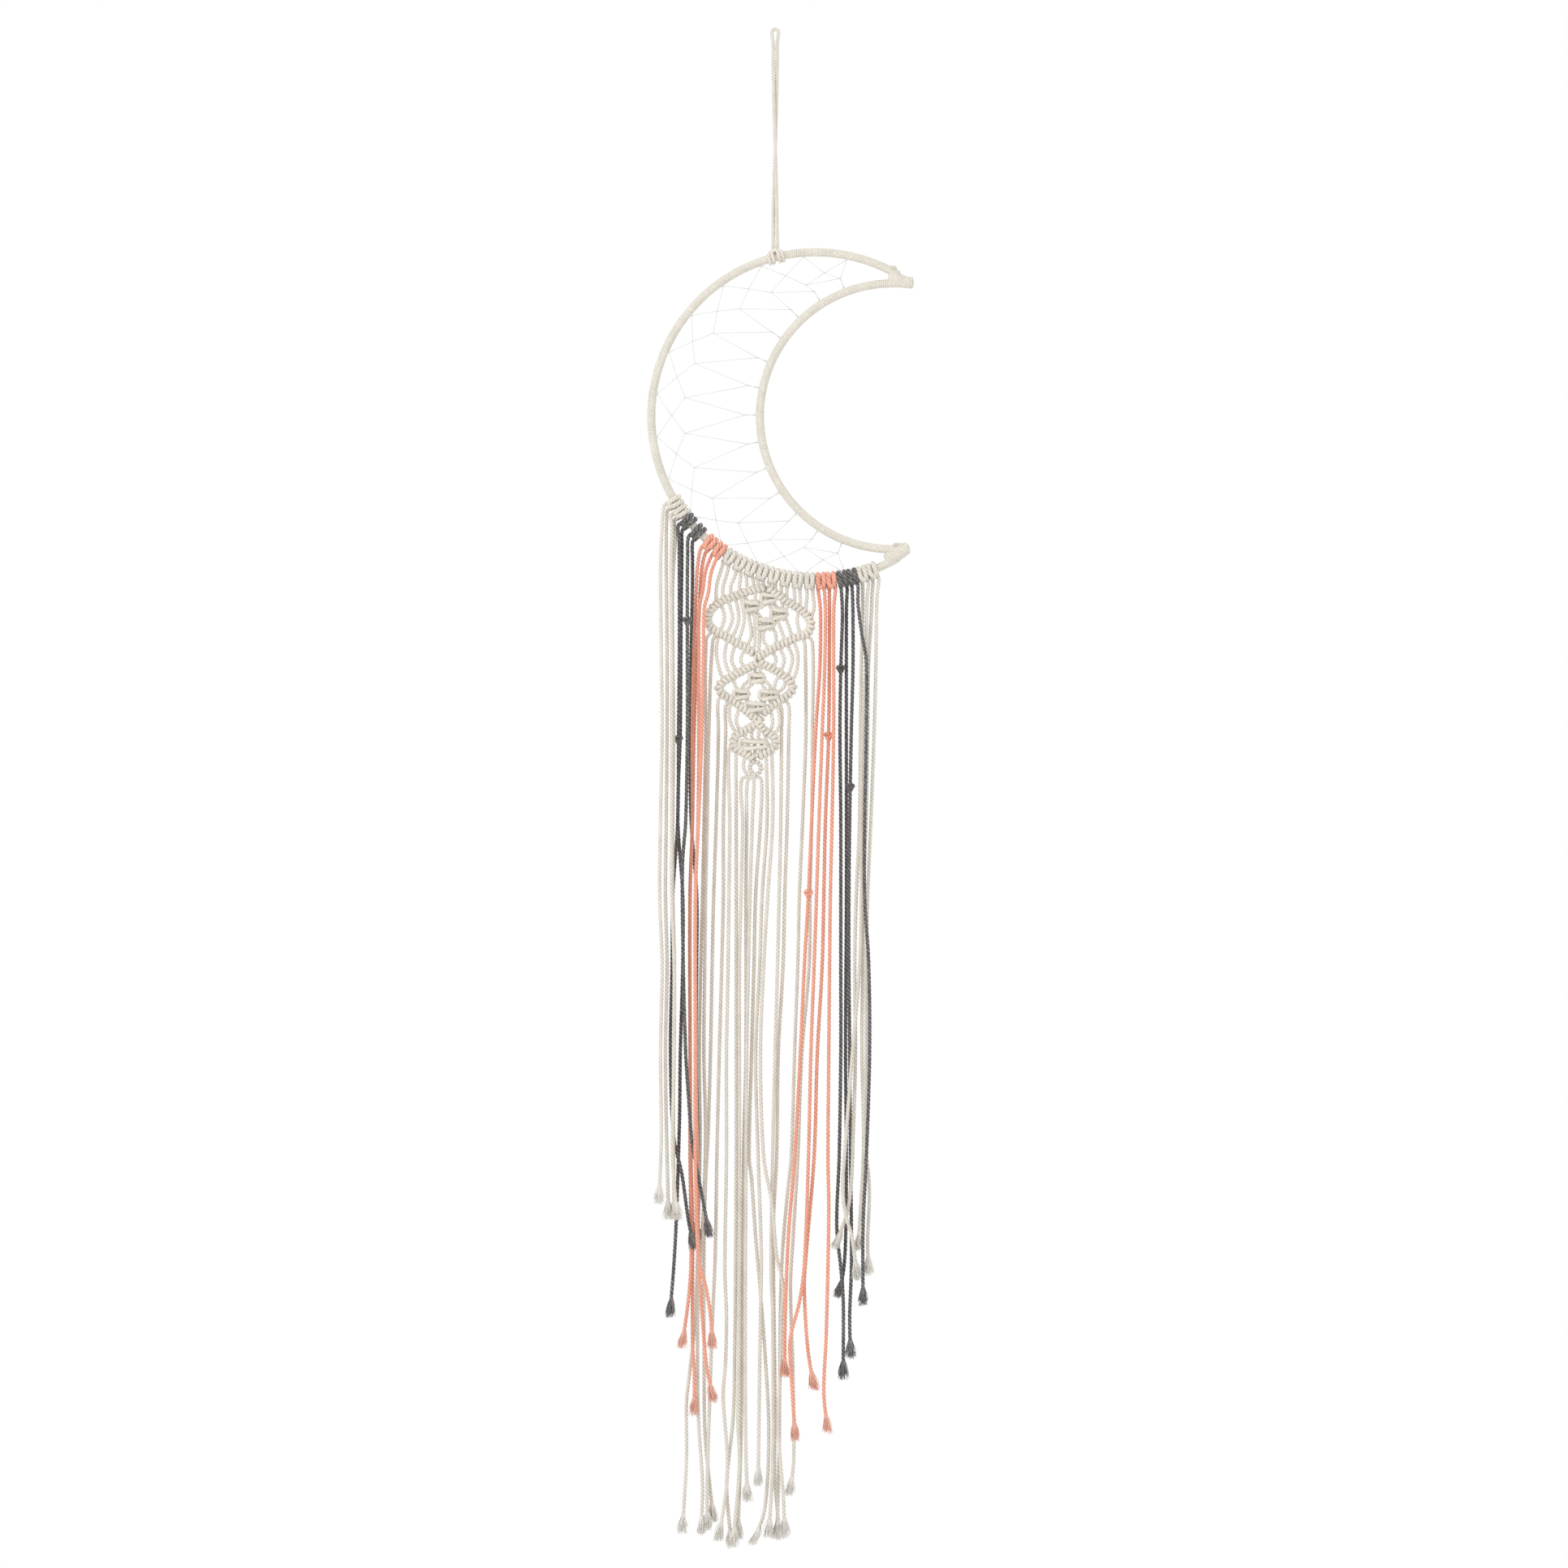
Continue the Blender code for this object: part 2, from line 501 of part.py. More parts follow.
def make_net():
    """One thread tied from the outer arc to the inner arc, as a flat lattice."""
    def outer_end(degrees):
        covered = FRINGE_START < degrees < FRINGE_END
        reach = KNOT_RADIUS + GAP if covered else WRAPPED_DIAMETER / 2 + GAP
        return polar(OUTER_CENTRE, OUTER_RADIUS - reach - THREAD_WIDTH, degrees)

    ties = [outer_end(degrees) for degrees in OUTER_TIES]
    first = [polar(OUTER_CENTRE, FIRST_ROW_RADIUS, (a + b) / 2) for a, b in zip(OUTER_TIES, OUTER_TIES[1:])]
    second = [polar(OUTER_CENTRE, SECOND_ROW_RADIUS, degrees) for degrees in OUTER_TIES[1:-1]]
    inner = [polar(INNER_CENTRE, INNER_ROW_RADIUS, degrees) for degrees in INNER_ROW]
    reach = WRAPPED_DIAMETER / 2 + GAP + THREAD_WIDTH
    feet = [polar(INNER_CENTRE, INNER_RADIUS + reach, degrees) for degrees in INNER_ROW]
    threads = [(ties[0], inner[0]), (ties[-1], inner[-1]), (first[0], inner[0]), (first[-1], inner[-1])]
    for index, knot in enumerate(first):
        threads.append((ties[index], knot))
        threads.append((ties[index + 1], knot))
    for index, knot in enumerate(second):
        threads.append((first[index], knot))
        threads.append((first[index + 1], knot))
        threads.append((knot, inner[index]))
        threads.append((knot, inner[index + 1]))
    threads += zip(inner, feet)
    add_lattice("web_net", [(THREAD_WIDTH, [a, b]) for a, b in threads], THREAD_WIDTH, THREAD)


def make_hanger():
    """The doubled cord that the hoop hangs on, and its lark's head round the top of the hoop."""
    half = 1.35  # from the loop's middle to each leg
    split = -8.0  # where the bend ends and the legs begin
    clearance = 0.8
    bend_radius = 2.0
    top = LOOP_CORD_DIAMETER / 2 - bend_radius
    bend = [(-half, 0, split)]
    for step in range(9):
        angle = math.pi * (1 - step / 8)
        bend.append((bend_radius * math.cos(angle), 0, top + bend_radius * math.sin(angle)))
    bend.append((half, 0, split))
    add_tube("hanging_loop_bight", bend, LOOP_CORD_DIAMETER, CREAM)

    bottom = -129.8
    steps = 12
    left = []
    right = []
    for step in range(steps + 1):
        share = step / steps
        turn = math.pi * share
        z = split - clearance + (bottom - split + clearance) * share
        left.append((-half * math.cos(turn), -half * math.sin(turn), z))
        right.append((half * math.cos(turn), half * math.sin(turn), z))
    turn_back = [(half * 0.72, 0, bottom - 0.9), (0, 0, bottom - 1.35), (-half * 0.72, 0, bottom - 0.9)]
    add_tube("hanging_loop_legs", left + turn_back + right[::-1], LOOP_CORD_DIAMETER, CREAM)

    first = HANGER_ANGLE - HANGER_SPAN / 2
    profile = [(0.02, 0.7), (0.2, 1.0), (0.38, 0.7), (0.5, 0.62), (0.62, 0.7), (0.8, 1.0), (0.98, 0.7)]
    bore = WRAPPED_DIAMETER / 2 + ROCK_CLEARANCE
    rings = [(first + HANGER_SPAN * share, bore + LOOP_CORD_DIAMETER * size) for share, size in profile]
    add_sleeve("hanger_knot", OUTER_CENTRE, OUTER_RADIUS, bore, rings, CREAM)


def main():
    for old in list(bpy.data.objects):
        bpy.data.objects.remove(old)
    make_hanger()
    make_hoop()
    make_binding("top_tip_binding", (76.9, -153.0), (85.2, -155.8), 5.1)
    make_binding("bottom_tip_binding", (76.9, -321.5), (85.0, -318.6), 5.1)
    make_net()
    make_larks_heads()
    for name, bars in PANEL.items():
        add_lattice(name, bars, PANEL_THICKNESS, CREAM)
    make_fringe()


main()
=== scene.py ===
"""Looks of the dream catcher: twisted cotton cords, wound yarn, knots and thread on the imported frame.

Lengths are in millimetres until they reach Blender, which works in metres.
"""

import math

import bpy
import numpy as np
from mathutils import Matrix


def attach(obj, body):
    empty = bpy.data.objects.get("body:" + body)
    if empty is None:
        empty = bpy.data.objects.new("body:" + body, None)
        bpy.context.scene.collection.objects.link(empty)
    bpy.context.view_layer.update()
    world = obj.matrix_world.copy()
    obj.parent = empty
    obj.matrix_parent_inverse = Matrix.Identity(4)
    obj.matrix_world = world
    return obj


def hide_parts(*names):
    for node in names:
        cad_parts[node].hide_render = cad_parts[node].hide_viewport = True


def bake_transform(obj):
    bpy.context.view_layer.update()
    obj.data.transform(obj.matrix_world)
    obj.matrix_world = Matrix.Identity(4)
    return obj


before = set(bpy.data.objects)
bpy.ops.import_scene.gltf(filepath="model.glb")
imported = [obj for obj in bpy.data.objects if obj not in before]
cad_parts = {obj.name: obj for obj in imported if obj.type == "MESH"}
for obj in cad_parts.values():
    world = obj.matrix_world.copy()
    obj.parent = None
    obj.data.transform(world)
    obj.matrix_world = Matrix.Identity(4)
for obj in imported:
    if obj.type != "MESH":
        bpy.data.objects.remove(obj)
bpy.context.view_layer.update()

MM = 0.001
CORD = 2.4  # diameter of the fringe's twisted cotton
LOOP_CORD = 2.4
LOOP_LAY = 5.4
PLIES = 3
LAY = 7.5  # mm of cord in which a ply goes once round
SPACING = 0.94  # mm between a cord's rings
HITCHED = 3.3  # width of the same cord where it is pulled flat in a lark's head
SQUASH = 0.3  # share of that width between the cord's middle and the yarn it is hitched over
WRAPPED = 5.2  # the hoop's wire with its yarn
YARN_PITCH = 1.3
OUTER_CENTRE = (24.75, -237.25)
OUTER_RADIUS = 101.0
INNER_CENTRE = (72.5, -237.25)
INNER_RADIUS = 81.85
KNOT_RADIUS = 5.7
EXIT_GAP = 1.2
EXIT_DEPTH = 2.6  # how far inside its lark's head a cord starts
HANGER_ANGLE = 103.95
SETTLE = 45.0  # mm of cord over which it comes to its own depth
TAIL_EASE = 14.0  # mm over which a panel cord comes out of the middle of its bar
FRAY = 11.0  # mm of each cord's end that has come untwisted
FIBRES = 120  # in each frayed end
FIBRE_RADII = (0.34, 0.30, 0.25, 0.2, 0.1)  # from its root to its tip
HITCHES = (1.7, 2.0, 2.8, 2.7)  # a bar's half width, half depth, cord width and pitch
END_HITCHES = (0.8, 1.3, 2.0, 2.2)  # the same in the small closed diamond at the end
KNOT_CORD = 2.6  # width of the cord in a square knot
KNOT_STRETCH = 1.22  # height of a square knot with its outer edges, over its listed height
THREAD = 0.34
NET_KNOT = 0.42

LARKS_HEADS = {
    "left_cream": ("cream", [211.5, 215.5]),
    "left_grey": ("grey", [219.6, 224.6]),
    "left_coral": ("coral", [230.2, 234.4]),
    "panel": ("cream", [238.7 + 4.19 * step for step in range(8)]),
    "right_coral": ("coral", [272.0, 275.6]),
    "right_grey": ("grey", [279.5, 283.1]),
    "right_cream": ("cream", [286.7, 290.3]),
}

# Each hanging cord: its depth where it starts, its depth lower down, and its route as (x, z)
ROUTES = {
    "left_cream_1": (-1.3, -5.5, [
        (-69.5, -303), (-70.5, -331), (-70, -381), (-69.5, -431), (-70.5, -486), (-71, -532),
        (-69.5, -575), (-70.5, -630), (-70, -681), (-71.5, -721)]),
    "left_cream_2": (1.3, -2, [
        (-67, -306), (-67, -331), (-66.5, -381), (-66.5, -431), (-67, -486), (-67.5, -532),
        (-66.5, -575), (-67.5, -630), (-66.5, -694), (-65.5, -731)]),
    "left_cream_3": (-1.3, -5.5, [
        (-63.5, -308), (-64, -331), (-63.5, -381), (-63.5, -431), (-63.5, -486), (-63.5, -532),
        (-62, -575), (-62, -630), (-63, -694), (-60, -731)]),
    "left_cream_4": (1.3, -2, [
        (-61.5, -312), (-63, -341), (-63, -381), (-62.5, -431), (-63, -486), (-63, -532), (-62, -575),
        (-62.5, -630), (-62.5, -694), (-62, -731)]),
    "left_grey_1": (-1.3, 1.5, [
        (-59, -321), (-59, -351), (-59, -381), (-59.5, -431), (-60, -486), (-63, -532), (-63.5, -575),
        (-64.5, -630), (-62.5, -681), (-57.5, -704), (-53.5, -732), (-50, -750)]),
    "left_grey_2": (1.3, 5, [
        (-57.5, -326), (-58, -361), (-58.5, -431), (-60, -486), (-57, -532), (-57, -575),
        (-58.5, -630), (-59, -671), (-61, -733), (-62.5, -761), (-65, -792)]),
    "left_grey_3": (-1.3, -2, [
        (-54, -337), (-54, -381), (-54, -431), (-55, -486), (-57, -514), (-56.5, -575), (-55, -630),
        (-53.5, -653), (-51, -685), (-47.5, -704), (-44, -722), (-40.5, -742)]),
    "left_grey_4": (1.3, 12, [
        (-51, -337), (-52, -381), (-52.5, -431), (-52, -486), (-48.5, -532), (-48.5, -575),
        (-49, -630), (-48, -681), (-49, -746)]),
    "left_coral_1": (-1.3, 5, [
        (-48.5, -341), (-50, -381), (-51, -431), (-51, -486), (-52.5, -532), (-52.5, -630),
        (-52.5, -694), (-52, -731), (-52, -761), (-53.5, -782), (-57.5, -811)]),
    "left_coral_2": (1.3, 8.5, [
        (-46, -341), (-48, -381), (-50, -431), (-51, -486), (-52.5, -532), (-52.5, -630), (-52, -694),
        (-51, -736), (-51, -810), (-50, -828), (-50, -853)]),
    "left_coral_3": (1.3, 1.5, [
        (-44.5, -344), (-47, -357), (-47, -381), (-47, -431), (-47.5, -486), (-49, -532), (-49, -630),
        (-48, -694), (-47, -755), (-45.5, -782), (-43.5, -810), (-42, -824), (-38, -844)]),
    "left_coral_4": (-4, -7, [
        (-41, -346), (-43.5, -356), (-44, -381), (-45, -431), (-47, -486), (-49, -532), (-49, -630),
        (-49, -694), (-47, -755), (-42.5, -773), (-39.5, -792), (-39, -810)]),
    "right_coral_1": (1.3, -2, [
        (28, -361), (27.5, -392), (25, -431), (22.5, -486), (20.5, -532), (18, -575), (15.5, -630),
        (12, -694), (8, -745), (6, -801), (6, -828)]),
    "right_coral_2": (-1.3, -5.5, [
        (31, -361), (30.5, -392), (29, -431), (27, -486), (25.5, -532), (24, -575), (22, -630),
        (20.5, -694), (18, -759), (15, -782), (10, -801), (9, -810), (10, -828), (12.5, -867)]),
    "right_coral_3": (1.3, -2, [
        (33.5, -361), (33, -431), (31, -486), (30, -532), (29, -575), (26, -630), (24, -694),
        (19, -755), (18, -773), (20, -810), (24, -836)]),
    "right_coral_4": (-1.3, -5.5, [
        (36, -361), (36, -431), (35, -486), (34, -532), (33.5, -575), (33, -630), (32.5, -694),
        (33, -727), (31.5, -801), (30, -838), (32.5, -862)]),
    "right_grey_1": (-1.3, 2, [
        (41.5, -361), (40.5, -393), (40, -431), (40.5, -486), (40.5, -575), (40.5, -630), (39.5, -694),
        (38, -736), (40.5, -762), (42, -782), (42, -819), (42, -830)]),
    "right_grey_2": (1.3, 5.5, [
        (44, -361), (44, -431), (44, -532), (43.5, -630), (44, -694), (43.5, -745), (42, -766),
        (38.5, -780)]),
    "right_grey_3": (-0.5, 2, [
        (48, -361), (48, -392), (47, -431), (46, -486), (45.5, -532), (45.5, -575), (46, -630),
        (46.5, -694), (47, -732), (47, -764), (46, -792), (46.5, -817)]),
    "right_grey_4": (-3, -10.5, [
        (51, -353), (53.5, -373), (56, -388), (56, -431), (55, -486), (55, -532), (57.5, -575),
        (58, -630), (56, -694), (54, -736), (54, -783)]),
    "right_cream_1": (1.3, -2, [
        (54, -356), (53, -392), (52.5, -431), (52, -486), (50, -532), (49, -575), (49.5, -630),
        (48, -681), (47, -708), (44.5, -727), (40, -740), (36.5, -749)]),
    "right_cream_2": (-1.3, -5.5, [
        (56.5, -356), (55.5, -392), (54, -431), (53, -486), (53, -532), (52, -575), (47.5, -630),
        (42.5, -695), (41.5, -713), (43.5, -729), (47, -741), (49, -755), (50.5, -768)]),
    "right_cream_3": (1.3, -2, [
        (59.5, -356), (57.5, -392), (57, -431), (56, -486), (54.5, -532), (54, -575), (53.5, -630),
        (54.5, -681), (53.5, -711), (51, -750)]),
    "right_cream_4": (-1.3, -5.5, [
        (62.5, -356), (62, -392), (61, -431), (59, -486), (57, -532), (56, -575), (56, -630),
        (55, -681), (57.5, -704), (58, -718), (57, -745), (57.5, -765)]),
    "panel_tail_01": (12.5, 15.5, [
        (-42.5, -375), (-43, -431), (-44, -486), (-45, -532), (-46, -575), (-47, -630), (-46.5, -681),
        (-47.5, -731), (-50, -801), (-53, -828), (-55, -847), (-55, -881), (-57.5, -927)]),
    "panel_tail_02": (8, 12, [
        (-38.5, -376), (-41, -431), (-42, -486), (-43, -532), (-43.5, -575), (-44, -630), (-43, -681),
        (-44.5, -731), (-47.5, -781), (-48, -810), (-47.5, -856), (-45, -898), (-46, -927)]),
    "panel_tail_03": (1.5, 15.5, [
        (-35, -412), (-35, -431), (-36.5, -486), (-38, -532), (-39, -575), (-40, -630), (-41.5, -681),
        (-43, -708), (-44, -746), (-44, -828), (-43.5, -865), (-40.5, -898), (-38, -920)]),
    "panel_tail_04": (1.5, 12, [
        (-30.5, -416), (-30.5, -431), (-32, -486), (-32, -532), (-33, -575), (-34.5, -630),
        (-36, -694), (-37, -755), (-39, -801), (-40.5, -847), (-41.5, -875), (-42, -902), (-42, -925)]),
    "panel_tail_05": (1.5, 5, [
        (-28.5, -443), (-28, -486), (-28.5, -532), (-29, -575), (-30, -630), (-30, -694), (-31, -764),
        (-30, -792), (-30.5, -819), (-32, -842), (-29.5, -879), (-30, -898), (-35, -930)]),
    "panel_tail_06": (1.5, 8.5, [
        (-24, -445), (-24, -486), (-24, -575), (-24, -630), (-24, -694), (-25, -819), (-26, -856),
        (-29, -884), (-30, -898), (-27, -935)]),
    "panel_tail_07": (1.5, 5, [
        (-20.5, -461), (-20, -486), (-21, -532), (-22, -575), (-22, -694), (-22.5, -819), (-23, -856),
        (-22, -884), (-26, -933)]),
    "panel_tail_08": (1.5, 8.5, [
        (-17, -462), (-17.5, -486), (-18, -532), (-18, -630), (-19.5, -694), (-20.5, -819),
        (-21, -865), (-23, -930)]),
    "panel_tail_09": (1.5, 5, [
        (-13, -462), (-14, -486), (-15.5, -532), (-16.5, -575), (-17.5, -630), (-18, -694),
        (-18.5, -819), (-18, -879), (-17, -906)]),
    "panel_tail_10": (3, 8.5, [
        (-8.5, -461), (-9, -486), (-12, -532), (-13, -575), (-14.5, -630), (-16, -694), (-14.5, -708),
        (-12, -745), (-9.5, -773), (-6, -819), (-4, -865), (-6.5, -912), (-14, -933)]),
    "panel_tail_11": (-0.5, 5, [
        (-5.5, -446), (-5, -486), (-8, -532), (-9.5, -575), (-12, -630), (-10.5, -694), (-8.5, -755),
        (-9, -792), (-9.5, -819), (-10.5, -896)]),
    "panel_tail_12": (1.5, 1.5, [
        (-2, -445), (-1.5, -486), (-4.5, -532), (-7, -575), (-9, -630), (-7, -694), (-2, -722),
        (1, -755), (5, -773), (4, -792), (3.5, -819), (2, -861), (5, -902), (6, -927)]),
    "panel_tail_13": (1.5, 5, [
        (4, -417), (4, -431), (3.5, -486), (2.5, -532), (1.5, -575), (0, -630), (-1.5, -694),
        (-2.5, -764), (-1.5, -792), (-1.5, -884), (-4, -928)]),
    "panel_tail_14": (1.5, 8.5, [
        (8.5, -416), (8.5, -431), (7.5, -486), (6, -532), (5, -575), (2, -630), (1, -694), (-1, -736),
        (0, -847), (0, -893), (3, -930)]),
    "panel_tail_15": (1.5, 12, [
        (18.5, -379), (19, -431), (17, -486), (15, -532), (14, -575), (12, -630), (10, -694),
        (7.5, -718), (4, -764), (3, -821), (2.5, -881), (1, -930)]),
    "panel_tail_16": (1.5, 5, [
        (23, -377), (23, -431), (22.5, -486), (21.5, -532), (21, -575), (16.5, -630), (14, -694),
        (11, -745), (9.5, -773), (11, -826), (11.5, -881), (9, -902)]),
}

# Small overhand knots, each tied in one cord at a height
OVERHAND_KNOTS = {
    "left_grey_3": -363.5,
    "left_grey_1": -436,
    "right_grey_1": -393,
    "right_coral_3": -434.5,
    "right_grey_3": -465.5,
    "right_coral_1": -531.5,
}

# The knotted panel's bars of half hitches, as (diamond, points)
HITCHED_BARS = [
    ("large", [(-6, -342.6), (-15, -344.6), (-23.5, -347.5), (-32.5, -351), (-39, -356), (-41.3, -361),
               (-41, -365.5), (-36.5, -369.5), (-31, -372.5), (-24.5, -376.3), (-18.2, -379.7),
               (-12.9, -383.2)]),
    ("large", [(-5, -343.2), (1, -346.6), (6.4, -350.6), (12.3, -354.3), (18.2, -358.6), (21.6, -363),
               (21.8, -367.5), (19.5, -371.3), (13.9, -373.2), (7, -376.3), (0.5, -379.5),
               (-5.4, -382.7), (-12, -387)]),
    ("medium", [(-10, -389), (-17.5, -392.7), (-24.4, -396.3), (-31, -400.2), (-34.6, -404),
                (-32.5, -408.2), (-26.7, -411.8), (-21.2, -415.9), (-15.5, -420.6), (-11.5, -424)]),
    ("medium", [(-10.5, -388.5), (-2.1, -392.6), (3.2, -395.8), (8.6, -400), (11, -404.8), (7.8, -409.1),
                (2.5, -412.5), (-2.9, -416.5), (-7.7, -420.6)]),
    ("small", [(-8, -423), (-13.1, -427.6), (-18.5, -430.8), (-24, -433.8), (-26, -438.3),
               (-24.6, -441.8), (-21.5, -443.6), (-16.5, -446), (-12.5, -448.6)]),
    ("small", [(-12.5, -425), (-9.3, -427.8), (-5.6, -431.5), (-0.9, -434.5), (0.6, -438.5),
               (-1.1, -441.8), (-6.3, -444.6), (-10.9, -447.5)]),
    ("end", [(-12.2, -449), (-15, -451.5), (-15.6, -454.5), (-13.6, -457.5), (-11.8, -459)]),
    ("end", [(-12.5, -449.5), (-9.6, -451.5), (-8.6, -454.5), (-10.3, -457.2), (-13.3, -459)]),
]

# Square knots, as (diamond, centre, half width, half height)
SQUARE_KNOTS = [
    ("large", (-3.75, -349.5), 4.2, 2.0),
    ("large", (-14.5, -354.3), 4.4, 2.1),
    ("large", (2.7, -359), 4.4, 2.2),
    ("large", (-5.6, -365.2), 4.8, 2.2),
    ("medium", (-10.9, -398.6), 4.2, 1.8),
    ("medium", (-20.4, -408.5), 4.2, 1.9),
    ("medium", (-3.6, -409), 5.2, 2.0),
    ("medium", (-11.8, -416.2), 5.8, 1.9),
    ("small", (-12.5, -439.6), 8.2, 1.9),
]

# Cords inside and between the diamonds
LOOSE_CORDS = [
    ("large", [(-34, -351.5), (-32.2, -356), (-31.2, -361), (-32.5, -366.5), (-34.5, -370.5)]),
    ("large", [(-29, -349.5), (-27.3, -356), (-26.2, -361.5), (-28, -367.5), (-31, -372.5)]),
    ("large", [(-24.8, -348), (-23.3, -354), (-22.4, -360.5), (-23.2, -366), (-27, -375)]),
    ("large", [(-21.5, -347), (-19.8, -355), (-19, -362), (-20, -368), (-23, -377)]),
    ("large", [(-16.5, -355), (-15.9, -362), (-14.8, -368), (-14.8, -373), (-18, -380)]),
    ("large", [(-13, -356), (-12.4, -363), (-12.6, -370), (-12.4, -376), (-13.4, -382)]),
    ("large", [(-8.5, -366), (-9.6, -370), (-9.6, -376), (-10.5, -384)]),
    ("large", [(-6.2, -366), (-7.4, -373), (-6.3, -377), (-2.5, -381)]),
    ("large", [(-2.5, -366), (0.2, -371), (0.6, -379)]),
    ("large", [(1, -361), (3.4, -368), (6.5, -376.5)]),
    ("large", [(5.5, -359), (8.2, -366), (10.8, -374.5)]),
    ("large", [(15, -356), (13.6, -362.5), (14.6, -368.5), (16.5, -372.5)]),
    ("large", [(-4.5, -350), (-9, -351.5), (-13.5, -354)]),
    ("large", [(-5, -352.5), (-8.5, -354.8), (-12.5, -356.3)]),
    ("large", [(-2.5, -350.5), (0.5, -354), (3.2, -358)]),
    ("large", [(-4.6, -352), (-2.2, -355.8), (0.3, -358.6)]),
    ("large", [(-13, -355.5), (-10, -359.5), (-6.2, -364.5)]),
    ("large", [(-15.5, -357), (-12.2, -361), (-8.5, -365.5)]),
    ("large", [(0.5, -360.5), (-1.5, -362.5), (-4, -364.5)]),
    ("large", [(3.2, -361), (1, -364), (-2.5, -366.5)]),
    ("large", [(-7, -343), (-5.8, -346), (-4.8, -349)]),
    ("large", [(-2.5, -343), (-2.6, -346), (-2.8, -349)]),
    ("large", [(-19.5, -346), (-17.8, -350), (-16, -354)]),
    ("large", [(-12.5, -345), (-12.2, -349), (-13.3, -353)]),
    ("large", [(3.5, -349), (4.6, -353), (3.8, -358)]),
    ("large", [(8, -352), (7.4, -355.5), (5, -358.5)]),
    ("medium", [(-35.2, -373), (-36.2, -382), (-34.8, -391.5), (-32, -400)]),
    ("medium", [(-29.5, -375), (-31.1, -385), (-29.5, -392.4), (-26.5, -397.5)]),
    ("medium", [(-24.5, -377), (-26.8, -387), (-24.6, -392.6), (-21.5, -396)]),
    ("medium", [(-18.5, -380.5), (-21.2, -387), (-18.5, -393)]),
    ("medium", [(-2.5, -381.5), (0.5, -386.5), (-1, -392.5)]),
    ("medium", [(2.5, -379.5), (5.6, -387), (3.5, -395)]),
    ("medium", [(7.5, -377.5), (10.7, -386.5), (8, -397.5)]),
    ("medium", [(11.5, -375.5), (14, -384.5), (13.2, -394), (9.8, -402)]),
    ("medium", [(-12.5, -390), (-12.3, -394.5), (-12, -398)]),
    ("medium", [(-8.5, -390), (-9.3, -394.5), (-9.8, -398)]),
    ("medium", [(-12.5, -400.5), (-16.5, -404.5), (-19.5, -408)]),
    ("medium", [(-9.5, -400.5), (-6.6, -404.5), (-4, -408.5)]),
    ("medium", [(-15, -399.5), (-19, -402.5), (-21.5, -407)]),
    ("medium", [(-7, -399.5), (-3.4, -403), (-1.5, -408)]),
    ("medium", [(-19, -410), (-16.4, -413), (-13.5, -416)]),
    ("medium", [(-5, -410.5), (-7.2, -413.5), (-10, -416)]),
    ("medium", [(-26, -397.5), (-24.8, -402.5), (-22, -407.5)]),
    ("medium", [(3.5, -396.5), (0.4, -400.5), (-0.5, -406)]),
    ("medium", [(6.5, -399), (5.4, -404), (0.8, -408)]),
    ("medium", [(-13.5, -417), (-13, -419.5), (-12, -423)]),
    ("medium", [(-10, -417), (-10, -420.5), (-10.5, -423.5)]),
    ("small", [(-27.3, -411.5), (-28.3, -420), (-27, -427), (-23.3, -433.5)]),
    ("small", [(-21.7, -415.8), (-24, -424), (-22.8, -428.5), (-19.5, -431.5)]),
    ("small", [(1, -413.5), (2.9, -424), (1.6, -430), (-1.5, -434.5)]),
    ("small", [(-3.5, -416.5), (-1.5, -425.5), (-3.4, -433)]),
    ("small", [(-18, -431), (-18.4, -435), (-17.5, -439)]),
    ("small", [(-13.5, -428), (-14.4, -433), (-14, -438.5)]),
    ("small", [(-9.8, -428.5), (-10.2, -433.5), (-10.3, -438.5)]),
    ("small", [(-5.6, -431.8), (-6, -435.5), (-6.8, -439)]),
    ("small", [(-16.5, -440.5), (-16, -443.5), (-15, -446)]),
    ("small", [(-12.5, -440.5), (-12.3, -444), (-12.2, -448)]),
    ("small", [(-8.5, -440.5), (-8.8, -443.5), (-9.5, -446.5)]),
    ("end", [(-18, -445.5), (-19.6, -452.5), (-17.6, -457.5), (-13.5, -459.3)]),
]

# Cords from the panel's lark's heads down to its first two bars: two to each head
PANEL_LEADS = [
    [(-33.5, -333), (-36, -342), (-36.4, -352)], [(-29.6, -334), (-32.1, -343), (-32, -350.5)],
    [(-24.4, -334.5), (-27.3, -342), (-27, -348.5)], [(-21.3, -337), (-22, -342), (-21.4, -346.5)],
    [(-17.6, -338), (-17, -344.5)], [(-13.6, -338.5), (-12.8, -343)],
    [(-10.3, -341), (-9.8, -342.5)], [(-7.2, -341), (-6.8, -342.5)],
    [(-3.4, -342), (-3.6, -343)], [(0.2, -343), (0.4, -346)],
    [(3.8, -345), (3.6, -349)], [(7.2, -346), (7.4, -351)],
    [(11.9, -346.5), (12.1, -350), (11.3, -354)], [(15.3, -347), (15.6, -351), (14.6, -356)],
    [(19.7, -348), (19.1, -354), (19.3, -360)], [(23.4, -348), (24, -355), (22, -362)],
]

# The net's knots, in rows from the outer arc inwards
OUTER_TIES = [78.6 + 15.55 * step for step in range(14)]
FIRST_ROW_RADIUS = 88.5
SECOND_ROW_RADIUS = 81.0
INNER_ROW = [110.8 + 11.44 * step for step in range(13)]
INNER_ROW_RADIUS = INNER_RADIUS + 9.0
FRINGE_START = 209.0
FRINGE_END = 292.4


# Materials

def add_node(material, kind, place, **inputs):
    """A shader node with its inputs set by name."""
    node = material.node_tree.nodes.new(kind)
    node.location = place
    for name, value in inputs.items():
        node.inputs[name.replace("_", " ")].default_value = value
    return node


